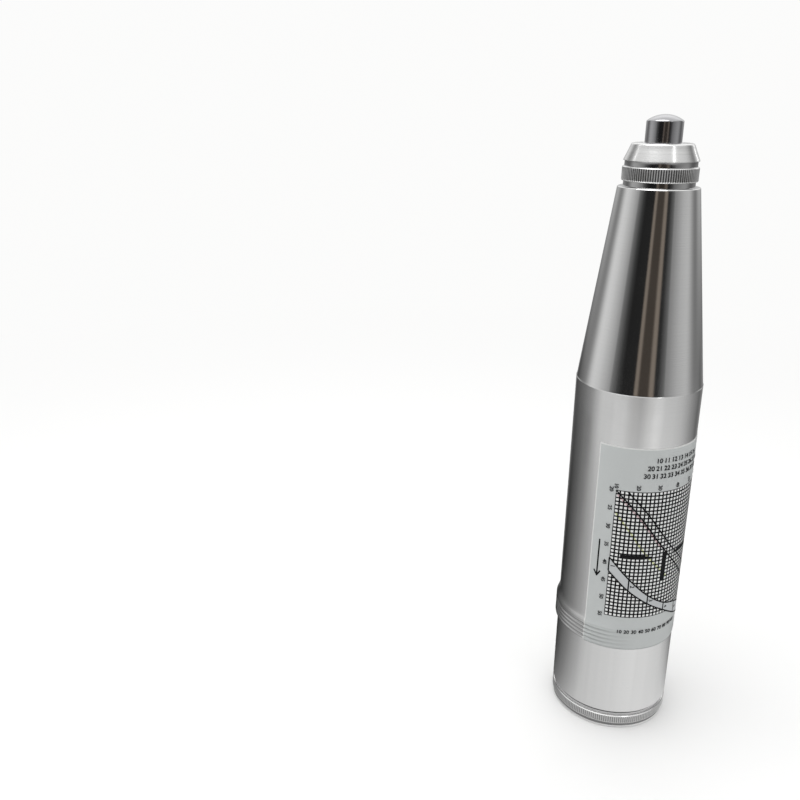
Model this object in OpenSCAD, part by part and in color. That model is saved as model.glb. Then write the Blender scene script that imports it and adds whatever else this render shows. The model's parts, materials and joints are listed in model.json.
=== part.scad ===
// Rebound hammer for testing concrete, standing on its rear cap with the plunger upwards.
// Millimetres. The origin is the middle of the rear cap's flat base and +Z runs along the axis.
// The plunger is pushed in as far as its lock, and the hammer mass lies at its zero.

/* [Rear cap] */
// Thickness of the knurled flange
cap_flange_t = 6.4; // [5:0.1:9]
// Height of the plain collar between the flange and the barrel
cap_collar_h = 2.5; // [1.5:0.1:4]
// How far the collar lies under the barrel's surface
cap_collar_step = 1.0; // [0.6:0.1:1.6]
// Length of the spigot inside the barrel
cap_spigot_l = 12; // [9:0.5:14]
// Wall of the cup that holds the compression spring
cap_cup_wall = 4; // [3.5:0.1:5]
// Thickness of the cup's floor
cap_floor_t = 5; // [4:0.5:6]
// Teeth of the straight knurl round the flange
cap_knurl_n = 170; // [120:2:180]
// Height of the knurled part of the flange
cap_knurl_h = 4.0; // [3:0.1:4.4]

/* [Barrel] */
// Outside diameter of the straight barrel
barrel_d = 54; // [53:0.2:56]
// Wall of the straight barrel
barrel_wall = 5; // [4.6:0.1:5.6]
// Wall of the barrel round the threaded seat of the rear cap
rear_seat_wall = 3.5; // [3:0.1:4]
// How far the straight bore runs on past the hammer mass at its zero
bore_past = 1.5; // [1:0.1:3]
// Length of the straight barrel
barrel_l = 157.1; // [152:0.1:170]
// Length of the cone in front of the barrel
cone_l = 82; // [78:0.2:90]
// Diameter of the cone's front end
cone_tip_d = 33; // [32:0.1:36]
// Wall of the cone, measured square to the axis
cone_wall = 4.2; // [3.4:0.1:4.6]
// Diameter of the narrow neck in front of the cone
neck_d = 28.6; // [27:0.1:29]
// Height of the narrow neck
neck_h = 2.2; // [1.6:0.1:3]
// Length of the thread that carries the front cap
nose_thread_l = 6.8; // [6:0.1:8]

/* [Grip band] */
// Ridges on the grip band
ridge_n = 5; // [3:1:6]
// Height of the band along the axis
band_h = 10; // [8:0.2:12]
// How far the band's axis lies off the barrel's axis
band_offset = 0.85; // [0.5:0.05:0.95]
// How much larger the band's radius is than the barrel's
band_rise = 0.8; // [0.6:0.05:1.2]
// Depth of the grooves between the ridges
ridge_depth = 0.55; // [0.3:0.05:0.8]
// Length of the hollow flare above the band
flare_l = 12; // [8:0.5:14]

/* [Front cap] */
// Diameter of the recess in front of the knurl
recess_d = 28.8; // [28.2:0.1:29.2]
// Height of the recess
recess_h = 2.2; // [1.6:0.1:3]
// How far the knurled ring stands out past the recess
ring_rise = 0.8; // [0.6:0.05:1.2]
// Height of the knurled ring
ring_h = 5.8; // [5:0.1:7]
// Teeth of the straight knurl
ring_knurl_n = 96; // [72:2:110]
// How far the foot of the tapered front stands out past the recess
taper_rise = 0.6; // [0.4:0.05:1]
// How far the rim of the tapered front lies outside the thread
rim_wall = 0.2; // [0.2:0.05:0.8]
// Height of the tapered front
taper_h = 6.8; // [5.5:0.1:8]
// Thickness of the wall that closes the cap
front_wall_t = 2.0; // [1.6:0.1:2.6]

/* [Plunger] */
// Diameter of the plunger where the sleeve guides it
plunger_d = 15; // [14.8:0.1:15.4]
// How far the end is turned down, so that a burr can't catch in the sleeve
plunger_step = 0.2; // [0.2:0.05:0.4]
// How far the locked plunger stands out of the front cap
stub_l = 11; // [8:0.5:16]
// Height of the domed end
dome_h = 2.2; // [1.6:0.1:3]
// Height of the sloped corner under the dome
corner_h = 0.4; // [0.3:0.1:1.2]
// How far that corner draws in
corner_in = 0.4; // [0.3:0.1:1.2]
// Depth of the bore for the guide bar
plunger_bore_l = 64; // [60:1:70]

/* [Guide sleeve] */
// Length of the sleeve behind its flange
sleeve_l = 34.5; // [30:0.5:40]
// Thickness of that flange
sleeve_flange_t = 2.0; // [1.5:0.1:2.4]
// Thickness of the ring in two halves
split_ring_t = 2.0; // [1.5:0.1:2.4]

/* [Hammer mass] */
// Travel of the hammer mass and of the plunger
stroke = 75; // [70:1:76]
// Gap between the hammer mass and the bore
hammer_gap = 1.6; // [1.4:0.1:2.5]
// Length of its thick body
hammer_l = 34.5; // [32:0.5:38]
// How far the striking nose lies inside the sleeve's surface
hammer_nose_in = 0.5; // [0:0.1:1.5]
// Length of the striking nose
hammer_nose_l = 4; // [3:0.5:6]
// Diameter of the flange that the pawl hooks
hook_flange_d = 18; // [17:0.1:18.6]
// Thickness of that flange
hook_flange_t = 3; // [2.5:0.1:4]
// Diameter of the groove in front of that flange
hook_groove_d = 13.6; // [12.6:0.1:14]
// Width of that groove
hook_groove_w = 5.2; // [5.0:0.1:6]

/* [Guide bar and disk] */
// Diameter of the guide bar
bar_d = 8; // [7:0.1:8.2]
// How far the bar reaches into the plunger
bar_in_plunger_l = 38; // [30:1:44]
// Thickness of the guide disk
disk_t = 12; // [11:0.1:14]
// Length of the compressed spring behind the disk
spring_rest_l = 29; // [26:0.5:32]
// Diameter of the pin that holds the bar in the disk
bar_pin_d = 2.5; // [2:0.1:3]

/* [Pawl] */
// Width of the pawl
pawl_w = 4.6; // [4:0.1:5]
// Distance of the pawl's pin from the axis
pawl_pin_r = 12; // [11.4:0.1:12.4]
// Diameter of the pawl's pin
pawl_pin_d = 2.4; // [2:0.1:2.6]
// Height of the pawl's pin above the disk's rear face
pawl_pin_h = 4; // [3.8:0.1:4.4]
// Thickness of the pawl's two arms
pawl_arm_t = 3.4; // [3:0.1:3.6]
// How far the tail reaches past the axis
pawl_tail_past = 1.5; // [1:0.1:2]
// Thickness of the tail
pawl_tail_t = 2.4; // [2:0.1:2.6]
// How far the hook reaches over the flange
hook_over = 1.4; // [1:0.1:1.6]
// Thickness of the hook
hook_t = 3.4; // [2.8:0.1:3.6]

/* [Rider and scale] */
// Direction of the scale from +X
scale_angle = 45; // [35:1:60]
// Distance of the rider's rod from the bore's wall
rod_depth = 2.4; // [2.2:0.1:2.6]
// Diameter of the rod
rod_d = 2.4; // [2:0.1:2.5]
// Length of the rider
rider_l = 8; // [7:0.5:10]
// Width of the rider
rider_w = 6.4; // [5.6:0.1:6.8]
// Thickness of the rider's leaf
leaf_t = 0.3; // [0.2:0.05:0.4]
// Length of the rider's leaf
leaf_l = 13; // [11:0.5:15]
// Width of the pointer finger
finger_w = 2; // [1.6:0.1:2.2]
// Length along the axis of the lugs that hold the rod
lug_l = 4; // [3.5:0.5:5]
// Width of the scale plate and of its clear window
scale_w = 12.4; // [11.6:0.1:12.8]
// Thickness of the scale plate
scale_t = 0.8; // [0.6:0.1:1]
// Thickness of the clear window
window_t = 1.6; // [1.2:0.1:1.8]
// How far the plate and the window reach past the pointer's travel
scale_past = 7; // [6:0.5:9]
// Thread diameter of the window's screws
screw_d = 2; // [1.6:0.1:2.2]
// Head diameter of the window's screws
screw_head_d = 3.6; // [3.2:0.1:3.8]

/* [Push-button] */
// Direction of the button from +X
button_angle = 135; // [120:1:150]
// Diameter of the button's head
button_d = 8; // [7:0.1:8.2]
// Length of the button's head
button_l = 3.6; // [3:0.1:4]
// Travel of the button
button_travel = 2.5; // [2.2:0.1:2.6]
// Diameter of the lock pin
lock_pin_d = 5; // [4.4:0.1:5]
// Ledge of the barrel's wall that the bush stands on
bush_ledge_t = 1.2; // [1:0.1:1.4]
// Wall of the bush round the button
bush_wall = 1.1; // [0.9:0.1:1.3]
// Thickness of the bush's floor
bush_floor_t = 0.8; // [0.6:0.1:1]

/* [Trip screw] */
// Diameter of the trip screw
trip_d = 5; // [4:0.1:6]
// Width across the flats of its lock nut
trip_nut_af = 8; // [7:0.1:9]
// Thickness of the lock nut
trip_nut_t = 3; // [2.5:0.1:4]
// Height of the threaded boss in the cap's floor
trip_boss_h = 6; // [4:0.5:8]
// Diameter of that boss
trip_boss_d = 12; // [10:0.5:14]

/* [Chart label] */
// Middle of the label, as a direction from +X
label_angle = -50.8; // [-60:0.2:-40]
// Width of the label round the barrel, in degrees
label_arc = 135.6; // [120:0.1:155]
// Height of the label's lower edge
label_z = 44; // [40:0.1:60]
// Height of the label
label_h = 99.1; // [80:0.1:110]
// Thickness of the label
label_t = 0.2; // [0.1:0.02:0.3]

/* [Springs] */
// Wire of the compression spring behind the disk
push_wire = 1.9; // [1.5:0.1:2]
// Turns of the compression spring
push_turns = 9; // [7:1:10]
// Wire of the impact spring
impact_wire = 2.2; // [1.8:0.1:2.4]
// Turns of the impact spring
impact_turns = 18; // [14:1:19]
// Wire of the spring inside the plunger
hold_wire = 0.9; // [0.7:0.05:1]
// Turns of the spring inside the plunger
hold_turns = 10; // [8:1:12]
// Wire of the pawl's spring
pawl_wire = 0.5; // [0.4:0.05:0.5]
// Turns of the pawl's spring
pawl_turns = 4; // [3:1:5]
// Wire of the button's spring
button_wire = 0.5; // [0.4:0.05:0.5]
// Turns of the button's spring
button_turns = 2; // [2:1:3]

/* [Fits] */
// Clearance of a piece that slides on another
slide_clear = 0.08; // [0.04:0.01:0.1]
// Clearance of a fixed piece in its seat
seat_clear = 0.03; // [0.02:0.01:0.06]
// Clearance between pieces that pass each other
pass_clear = 0.4; // [0.3:0.05:0.5]
// Break on turned edges
edge_break = 0.6; // [0.3:0.05:0.8]

/* [Hidden] */
$fn = 96;

// Overrun of every cut past the face that it opens
over = 1;
// Teeth of both knurls: depth, and share of the pitch that the flat crest takes
knurl_depth = 0.35;
crest_share = 0.3;
// How far the turned core lies under the roots of a knurl
knurl_step = 0.15;
// Shares of the space between plunger and recess that go to the sleeve's wall, to the threaded
// nose and to the gap round the sleeve's flange; the front cap's wall has the rest of the space
sleeve_wall_share = 25 / 69;
nose_wall_share = 24 / 69;
flange_gap_share = 6 / 69;
// Radius of the front cap's rounded rim, and straight steps along it
rim_r = 1.1;
rim_steps = 4;
// Sides of a spring's wire and rings in each of its turns
wire_sides = 6;
rings_per_turn = 8;
// Straight steps along the hollow flare
flare_steps = 5;

// Heights along the axis, from the base upwards
barrel_z = cap_flange_t + cap_collar_h;
shoulder_z = barrel_z + barrel_l;
cone_top_z = shoulder_z + cone_l;
ring_z = cone_top_z + neck_h;
nose_z = ring_z + nose_thread_l;
recess_z = ring_z + ring_h;
taper_z = recess_z + recess_h;
cap_top_z = taper_z + taper_h;
cap_inner_z = cap_top_z - front_wall_t;
tip_z = cap_top_z + stub_l;
corner_z = tip_z - dome_h - corner_h;
sleeve_top_z = nose_z + sleeve_flange_t;
split_ring_z = sleeve_top_z;
felt_z = split_ring_z + split_ring_t;
sleeve_z = nose_z - sleeve_l;
disk_z = cap_floor_t + spring_rest_l;
disk_top_z = disk_z + disk_t;
hook_flange_z = disk_top_z + 2 * pass_clear + stroke;
hook_groove_z = hook_flange_z + hook_flange_t;
hammer_z = hook_groove_z + hook_groove_w;
hammer_front_z = hammer_z + hammer_l;
hammer_nose_z = hammer_front_z + hammer_nose_l;
plunger_z = hammer_nose_z + pass_clear;
bar_top_z = plunger_z + bar_in_plunger_l;
plunger_bore_top_z = plunger_z + plunger_bore_l;

// Diameters and radii of the barrel, from its outside inwards
barrel_r = barrel_d / 2;
bore_d = barrel_d - 2 * barrel_wall;
bore_r = bore_d / 2;
rear_seat_d = barrel_d - 2 * rear_seat_wall;
cap_cup_d = rear_seat_d - 2 * cap_cup_wall;
cap_core_r = barrel_r - knurl_depth - knurl_step;
cone_tip_r = cone_tip_d / 2;
disk_r = bore_r - slide_clear;
hammer_d = bore_d - 2 * hammer_gap;
rod_r = bore_r - rod_depth;

// Diameters and radii of the front end, from the plunger outwards
plunger_end_r = plunger_d / 2 - plunger_step;
plunger_end_d = 2 * plunger_end_r;
front_space = recess_d - plunger_d;
sleeve_d = plunger_d + front_space * sleeve_wall_share;
nose_bore_r = sleeve_d / 2 + seat_clear;
nose_thread_d = sleeve_d + front_space * nose_wall_share;
sleeve_flange_d = nose_thread_d - front_space * flange_gap_share;
hammer_nose_d = sleeve_d - 2 * hammer_nose_in;
ring_d = recess_d + 2 * ring_rise;
ring_core_r = ring_d / 2 - knurl_depth - knurl_step;
taper_foot_r = recess_d / 2 + taper_rise;
taper_rim_r = nose_thread_d / 2 + rim_wall;
function cone_r(z) = barrel_r + (cone_tip_r - barrel_r) * (z - shoulder_z) / cone_l;

// Middle diameter of the impact spring, whose straight chords still clear the striking nose
impact_coil_d = (hammer_nose_d + impact_wire + 2 * pass_clear) / cos(180 / rings_per_turn);

// Inside of the barrel: the bore ends in a taper that follows the cone to the sleeve's seat
bore_top_z = hammer_front_z + bore_past;
sleeve_seat_r = max(nose_bore_r, cone_r(cone_top_z) - cone_wall);
nose_step_z = cone_top_z - cone_wall;

// Lock pin, just in front of the disk
lock_clip_d = lock_pin_d + 3 * pass_clear;
lock_z = disk_top_z + pass_clear + lock_clip_d / 2;
band_z = lock_z - band_h / 2;
band_r = barrel_r + band_rise;
band_peak_r = band_r + band_offset;
ridge_pitch = band_h / ridge_n;
bush_in_r = bore_r + bush_ledge_t;
bush_d = button_d + 2 * slide_clear + 2 * bush_wall;
button_seat_r = bush_in_r + bush_floor_t;
button_foot_r = button_seat_r + button_travel + pass_clear + button_wire / 2;
lock_tip_r = bore_r + pass_clear;
lock_clip_t = bush_in_r - lock_tip_r - 2 * seat_clear;

// Pawl: it turns on a pin across the disk, opposite the scale
pawl_angle = scale_angle + 180;
pawl_pin_z = disk_z + pawl_pin_h;
pawl_slot_w = pawl_w + 2 * pass_clear;
pawl_slot_h = pawl_tail_t + pawl_pin_h - pawl_tail_t / 2;
pawl_tail_z = disk_z + pass_clear;
hook_z = hook_groove_z - stroke + pass_clear;
hook_tip_r = hook_flange_d / 2 - hook_over;
pawl_in_r = pawl_pin_r - pawl_arm_t / 2;
pawl_out_r = pawl_pin_r + pawl_arm_t / 2;
pawl_slot_in_r = pawl_in_r - pass_clear;
pawl_slot_out_r = pawl_out_r + pass_clear + hook_over + pass_clear;
bar_z = disk_z + pawl_slot_h + pass_clear;
bar_pin_z = (bar_z + disk_top_z) / 2;
pawl_spring_r = (bar_d / 2 + pawl_slot_in_r) / 2;
pawl_spring_d = pawl_slot_in_r - bar_d / 2 - pass_clear;
pawl_spring_z = pawl_tail_z + pawl_tail_t;
pawl_spring_top_z = disk_top_z - disk_t / 4;
trip_tip_z = pawl_tail_z - pass_clear / 2;

// Rider: zero lies at the front lug, with the leaf in the hammer's groove
rider_in_r = rod_r - rod_d / 2 - pass_clear * 2;
rider_out_r = bore_r - pass_clear;
leaf_r = rider_in_r - leaf_t;
rider_groove_r = leaf_r - pass_clear;
rider_groove_w = rider_w + 4 * pass_clear;
lug_in_r = rider_in_r + pass_clear;
lug_w = rider_w + pass_clear;
rider_front_z = hammer_z + pass_clear;
rider_z = rider_front_z - rider_l;
front_lug_z = rider_front_z + pass_clear;
rear_lug_z = rider_z - stroke - pass_clear - lug_l;
finger_t = finger_w / 2;
finger_z = rider_front_z - finger_w;
slot_w = finger_w + 3 * pass_clear;
slot_z = finger_z - stroke - finger_w;
slot_top_z = finger_z + finger_t + finger_w;
scale_z = slot_z - scale_past;
scale_h = slot_top_z + scale_past - scale_z;
window_out_r = sqrt(barrel_r * barrel_r - scale_w * scale_w / 4);
window_in_r = window_out_r - window_t;
scale_in_r = window_in_r - scale_t;
finger_out_r = scale_in_r + scale_t / 2;
screw_in_r = bore_r + pass_clear;
screw_head_h = window_t / 2;
screw_heights = [scale_z + scale_past / 2, scale_z + scale_h - scale_past / 2];

// Places a shape that is drawn along +X so that it points in a direction at a height
module toward(angle, z) {
    rotate([0, 0, angle]) translate([0, 0, z]) children();
}

// Cylinder along +X between two distances from the axis
module radial_rod(d, r0, r1) {
    translate([r0, 0, 0]) rotate([0, 90, 0]) cylinder(h = r1 - r0, d = d);
}

// Box that starts at a distance from the axis, as wide across as it is told
module radial_box(r0, r1, w, h) {
    translate([r0, -w / 2, 0]) cube([r1 - r0, w, h]);
}

// Round rod and tube along the axis
module rod(d, z0, z1) {
    translate([0, 0, z0]) cylinder(h = z1 - z0, d = d);
}

module tube(d_out, d_in, z0, z1) {
    difference() {
        rod(d_out, z0, z1);
        rod(d_in, z0 - over, z1 + over);
    }
}

// Straight knurl: a toothed ring, drawn as one outline
module knurl(d, teeth, z0, z1) {
    step = 360 / teeth;
    crest = step * crest_share / 2;
    outline = [for (i = [0 : teeth - 1]) each [
        [d / 2 * cos(i * step - crest), d / 2 * sin(i * step - crest)],
        [d / 2 * cos(i * step + crest), d / 2 * sin(i * step + crest)],
        [(d / 2 - knurl_depth) * cos((i + 0.5) * step), (d / 2 - knurl_depth) * sin((i + 0.5) * step)]]];
    translate([0, 0, z0]) linear_extrude(height = z1 - z0) polygon(outline);
}

// Middle line of a helical spring; both ends run on straight for one wire diameter
function coil_line(d, wire, length, turns) = let (
        n = turns * rings_per_turn,
        r = d / 2,
        rise = length - wire,
        curl = [for (i = [0 : n]) let (a = 360 * i / rings_per_turn)
            [r * cos(a), r * sin(a), wire / 2 + rise * i / n]])
    concat([curl[0] - [0, wire, 0]], curl, [curl[n] + [0, wire, 0]]);

// Least distance between turns, measured on the middle line, less the wire
function coil_gap(line, wire) = min([for (i = [1 : len(line) - 2])
        each [for (j = [i + rings_per_turn / 2 : 1 : len(line) - 2]) norm(line[i] - line[j])]]) - wire;

// One unbroken tube of wire along that line, drawn from z = 0 upwards
module coil(d, wire, length, turns, name) {
    line = coil_line(d, wire, length, turns);
    n = len(line);
    echo(str(name, " least gap between turns"), coil_gap(line, wire));
    out = [for (i = [0 : n - 1]) let (k = min(max(i - 1, 0), n - 3)) 360 * k / rings_per_turn];
    points = [for (i = [0 : n - 1]) for (s = [0 : wire_sides - 1]) let (
            t = 360 * s / wire_sides,
            side = wire / 2 * cos(t))
        line[i] + [side * cos(out[i]), side * sin(out[i]), wire / 2 * sin(t)]];
    function at(i, s) = i * wire_sides + s % wire_sides;
    walls = [for (i = [0 : n - 2]) for (s = [0 : wire_sides - 1]) each [
        [at(i, s), at(i + 1, s), at(i + 1, s + 1)],
        [at(i, s), at(i + 1, s + 1), at(i, s + 1)]]];
    foot = [for (s = [1 : wire_sides - 2]) [at(0, 0), at(0, s), at(0, s + 1)]];
    head = [for (s = [1 : wire_sides - 2]) [at(n - 1, 0), at(n - 1, s + 1), at(n - 1, s)]];
    polyhedron(points, concat(walls, foot, head));
}

// Outside of the barrel, grown by a skin's thickness: straight barrel and grip band
module barrel_skin(grow) {
    rod(barrel_d + 2 * grow, barrel_z, shoulder_z);
    toward(button_angle, 0) translate([band_offset, 0, 0]) rotate_extrude() polygon(band_outline(grow));
}

// Half section of the grip band: ridges with rounded-off crests, and the hollow flare above them
function band_outline(grow) = let (
        root = band_r - ridge_depth,
        ridges = [for (i = [0 : ridge_n - 1]) let (z = band_z + i * ridge_pitch) each [
            [root + grow, z],
            [band_r + grow, z + ridge_pitch / 4],
            [band_r + grow, z + ridge_pitch * 3 / 4]]],
        top = band_z + band_h,
        foot_r = barrel_r - band_offset,
        flare = [for (i = [0 : flare_steps]) let (s = 1 - i / flare_steps)
            [foot_r + (band_r - foot_r) * s * s + grow, top + flare_l * i / flare_steps]])
    concat([[foot_r - bush_wall, band_z]], ridges, flare, [[foot_r - bush_wall, top + flare_l]]);

// Pocket in the barrel for the scale plate and its window
module scale_pocket() {
    toward(scale_angle, scale_z - seat_clear)
        radial_box(scale_in_r, band_peak_r + over, scale_w + 2 * seat_clear, scale_h + 2 * seat_clear);
}

// Lug inside the barrel that holds one end of the rider's rod
module rod_lug(z) {
    toward(scale_angle, z) radial_box(lug_in_r, scale_in_r - scale_t, lug_w, lug_l);
}

// Two places of the window's screws
module at_screws() {
    for (z = screw_heights) toward(scale_angle, z) children();
}

module barrel_housing() color("silver") difference() {
    union() {
        difference() {
            union() {
                barrel_skin(0);
                translate([0, 0, shoulder_z]) cylinder(h = cone_l, d1 = barrel_d, d2 = cone_tip_d);
                rod(neck_d, cone_top_z, ring_z);
                rod(nose_thread_d, ring_z, nose_z);
            }
            rod(rear_seat_d, barrel_z - over, barrel_z + cap_spigot_l);
            rod(bore_d, barrel_z, bore_top_z);
            translate([0, 0, bore_top_z])
                cylinder(h = nose_step_z - bore_top_z, r1 = bore_r, r2 = sleeve_seat_r);
            rod(2 * nose_bore_r, bore_top_z, nose_z + over);
        }
        rod_lug(front_lug_z);
        rod_lug(rear_lug_z);
    }
    scale_pocket();
    toward(scale_angle, slot_z) radial_box(bore_r - over, scale_in_r + over, slot_w, slot_top_z - slot_z);
    at_screws() radial_rod(screw_d, screw_in_r, scale_in_r + over);
    toward(scale_angle, 0) translate([rod_r, 0, 0])
        rod(rod_d + 2 * seat_clear, rear_lug_z - over, front_lug_z + lug_l + over);
    toward(button_angle, lock_z) {
        radial_rod(bush_d + 2 * seat_clear, bush_in_r, band_peak_r + over);
        radial_rod(lock_clip_d + 2 * pass_clear, bore_r - over, bush_in_r + over);
    }
}

module chart_label() color("whitesmoke") intersection() {
    difference() {
        barrel_skin(label_t);
        barrel_skin(0);
    }
    translate([0, 0, label_z]) rotate([0, 0, label_angle - label_arc / 2])
        rotate_extrude(angle = label_arc) translate([bore_r, 0]) square([barrel_r, label_h]);
}

module rear_cap() color("gainsboro") difference() {
    union() {
        rotate_extrude() polygon([[0, 0], [cap_core_r - edge_break, 0], [cap_core_r, edge_break],
            [cap_core_r, cap_flange_t - edge_break / 2], [cap_core_r - edge_break / 2, cap_flange_t],
            [barrel_r - cap_collar_step, cap_flange_t], [barrel_r - cap_collar_step, barrel_z],
            [rear_seat_d / 2 - seat_clear, barrel_z],
            [rear_seat_d / 2 - seat_clear, barrel_z + cap_spigot_l],
            [0, barrel_z + cap_spigot_l]]);
        translate([0, 0, (cap_flange_t - cap_knurl_h) / 2]) knurl(barrel_d, cap_knurl_n, 0, cap_knurl_h);
    }
    difference() {
        rod(cap_cup_d, cap_floor_t, barrel_z + cap_spigot_l + over);
        rod(trip_boss_d, 0, cap_floor_t + trip_boss_h);
    }
    rod(trip_d + 2 * seat_clear, cap_floor_t / 2, cap_floor_t + trip_boss_h + over);
}

module trip_screw() color("dimgray") {
    rod(trip_d, cap_floor_t / 2, trip_tip_z - trip_d / 4);
    translate([0, 0, trip_tip_z - trip_d / 4]) cylinder(h = trip_d / 4, d1 = trip_d, d2 = trip_d / 2);
}

module trip_lock_nut() color("gray") translate([0, 0, cap_floor_t + trip_boss_h]) difference() {
    cylinder(h = trip_nut_t, d = trip_nut_af / cos(180 / wire_sides), $fn = wire_sides);
    rod(trip_d + 2 * seat_clear, -over, trip_nut_t + over);
}

module front_cap() color("lightgray") difference() {
    union() {
        knurl(ring_d, ring_knurl_n, ring_z + edge_break, recess_z - edge_break);
        rotate_extrude() polygon(concat([[0, ring_z], [ring_core_r, ring_z], [ring_core_r, recess_z],
                [recess_d / 2, recess_z], [recess_d / 2, taper_z], [taper_foot_r, taper_z]],
            [for (i = [0 : rim_steps]) let (a = 90 * i / rim_steps)
                [taper_rim_r - rim_r * (1 - cos(a)), cap_top_z - rim_r * (1 - sin(a))]],
            [[0, cap_top_z]]));
    }
    rod(nose_thread_d + 2 * seat_clear, ring_z - over, cap_inner_z);
    rod(plunger_d + 2 * pass_clear, cap_inner_z - over, cap_top_z + over);
}

module felt_washer() color("darkolivegreen")
    tube(sleeve_flange_d, plunger_d + 2 * slide_clear, felt_z, cap_inner_z);

module two_part_ring() color("goldenrod") difference() {
    tube(sleeve_flange_d, plunger_d + 2 * pass_clear, split_ring_z, split_ring_z + split_ring_t);
    translate([0, 0, split_ring_z - over])
        cube([sleeve_flange_d + over, pass_clear, 4 * (split_ring_t + over)], center = true);
}

module guide_sleeve() color("slategray") difference() {
    union() {
        rod(sleeve_d, sleeve_z, sleeve_top_z);
        rod(sleeve_flange_d, nose_z, sleeve_top_z);
    }
    rod(plunger_d + 2 * slide_clear, sleeve_z - over, sleeve_top_z + over);
}

module scale_plate() color("white") difference() {
    toward(scale_angle, scale_z) radial_box(scale_in_r, window_in_r, scale_w, scale_h);
    toward(scale_angle, slot_z)
        radial_box(scale_in_r - over, window_in_r + over, slot_w, slot_top_z - slot_z);
    at_screws() radial_rod(screw_d + 2 * seat_clear, screw_in_r, window_out_r);
}

module scale_window() color("lightblue", 0.5) difference() {
    toward(scale_angle, scale_z) radial_box(window_in_r, window_out_r, scale_w, scale_h);
    at_screws() {
        radial_rod(screw_d + 2 * seat_clear, screw_in_r, window_out_r + over);
        radial_rod(screw_head_d + 2 * seat_clear, window_out_r - screw_head_h, window_out_r + over);
    }
}

module window_screws() color("gray") at_screws() difference() {
    union() {
        radial_rod(screw_d, screw_in_r, window_out_r);
        radial_rod(screw_head_d, window_out_r - screw_head_h, window_out_r + screw_head_h / 4);
    }
    translate([0, 0, -screw_d / 8])
        radial_box(window_out_r - screw_head_h / 2, window_out_r + over, screw_head_d + over, screw_d / 4);
}

module rider_rod() color("silver") toward(scale_angle, 0) translate([rod_r, 0, 0])
    rod(rod_d, rear_lug_z, front_lug_z + lug_l);

module rider_block() color("black") toward(scale_angle, 0) difference() {
    union() {
        translate([0, 0, rider_z]) radial_box(rider_in_r, rider_out_r, rider_w, rider_l);
        translate([0, 0, finger_z]) radial_box(rider_in_r, finger_out_r, finger_w, finger_t);
    }
    translate([rod_r, 0, 0]) rod(rod_d + 2 * slide_clear, rider_z - over, rider_front_z + over);
}

module rider_leaf() color("goldenrod")
    toward(scale_angle, rider_z) radial_box(leaf_r, rider_in_r, rider_w - finger_w, leaf_l);

module button_bush() color("lightgray") toward(button_angle, lock_z) difference() {
    radial_rod(bush_d, bush_in_r, band_peak_r);
    radial_rod(button_d + 2 * slide_clear, button_seat_r, band_peak_r + over);
    radial_rod(lock_pin_d + 2 * slide_clear, bush_in_r - over, button_seat_r + over);
}

module push_button() color("silver") toward(button_angle, lock_z) difference() {
    radial_rod(button_d, button_foot_r, button_foot_r + button_l);
    translate([button_foot_r + button_l + button_d, 0, 0]) sphere(d = 2 * button_d + edge_break);
}

module lock_pin() color("gray") toward(button_angle, lock_z)
    radial_rod(lock_pin_d, lock_tip_r, button_foot_r);

module lock_pin_clip() color("dimgray") toward(button_angle, lock_z) difference() {
    radial_rod(lock_clip_d, lock_tip_r + seat_clear, lock_tip_r + seat_clear + lock_clip_t);
    radial_rod(lock_pin_d, lock_tip_r - over, bush_in_r + over);
}

module button_spring() color("silver") toward(button_angle, lock_z)
    translate([button_seat_r, 0, 0]) rotate([0, 90, 0])
        coil((button_d + lock_pin_d) / 2, button_wire, button_foot_r - button_seat_r,
            button_turns, "button");

module compression_spring() color("gray") translate([0, 0, cap_floor_t])
    coil((trip_boss_d + cap_cup_d) / 2, push_wire, disk_z - cap_floor_t, push_turns, "compression");

module impact_spring() color("gray") translate([0, 0, hammer_front_z])
    coil(impact_coil_d, impact_wire, sleeve_z - hammer_front_z, impact_turns, "impact");

module retaining_spring() color("silver") translate([0, 0, bar_top_z])
    coil(bar_d - hold_wire - pass_clear, hold_wire, plunger_bore_top_z - bar_top_z,
        hold_turns, "retaining");

module pawl_spring() color("silver") toward(pawl_angle, pawl_spring_z) translate([pawl_spring_r, 0, 0])
    coil(pawl_spring_d - pawl_wire - pass_clear, pawl_wire, pawl_spring_top_z - pawl_spring_z,
        pawl_turns, "pawl");

module guide_disk() color("gray") difference() {
    rod(2 * disk_r, disk_z, disk_top_z);
    toward(scale_angle, disk_z - over)
        radial_box(rider_groove_r, bore_r + over, rider_groove_w, disk_t + 2 * over);
    rod(bar_d + 2 * seat_clear, bar_z, disk_top_z + over);
    toward(pawl_angle, disk_z - over)
        radial_box(-pawl_tail_past - pawl_arm_t, pawl_slot_out_r, pawl_slot_w, pawl_slot_h + over);
    toward(pawl_angle, disk_z - over)
        radial_box(pawl_slot_in_r, pawl_slot_out_r, pawl_slot_w, disk_t + 2 * over);
    toward(pawl_angle, 0) translate([pawl_spring_r, 0, 0]) rod(pawl_spring_d, disk_z, pawl_spring_top_z);
    toward(pawl_angle, pawl_pin_z) pawl_cross(pawl_pin_d + 2 * seat_clear, over);
    toward(button_angle, bar_pin_z) radial_rod(bar_pin_d + 2 * seat_clear, -disk_r / 2, disk_r / 2);
}

// Pin across the disk that the pawl turns on
module pawl_cross(d, past) {
    length = 2 * pawl_slot_w + pawl_w + 2 * past;
    translate([pawl_pin_r, length / 2, 0]) rotate([90, 0, 0]) cylinder(h = length, d = d);
}

module pawl_pin() color("silver") toward(pawl_angle, pawl_pin_z) pawl_cross(pawl_pin_d, 0);

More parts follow.
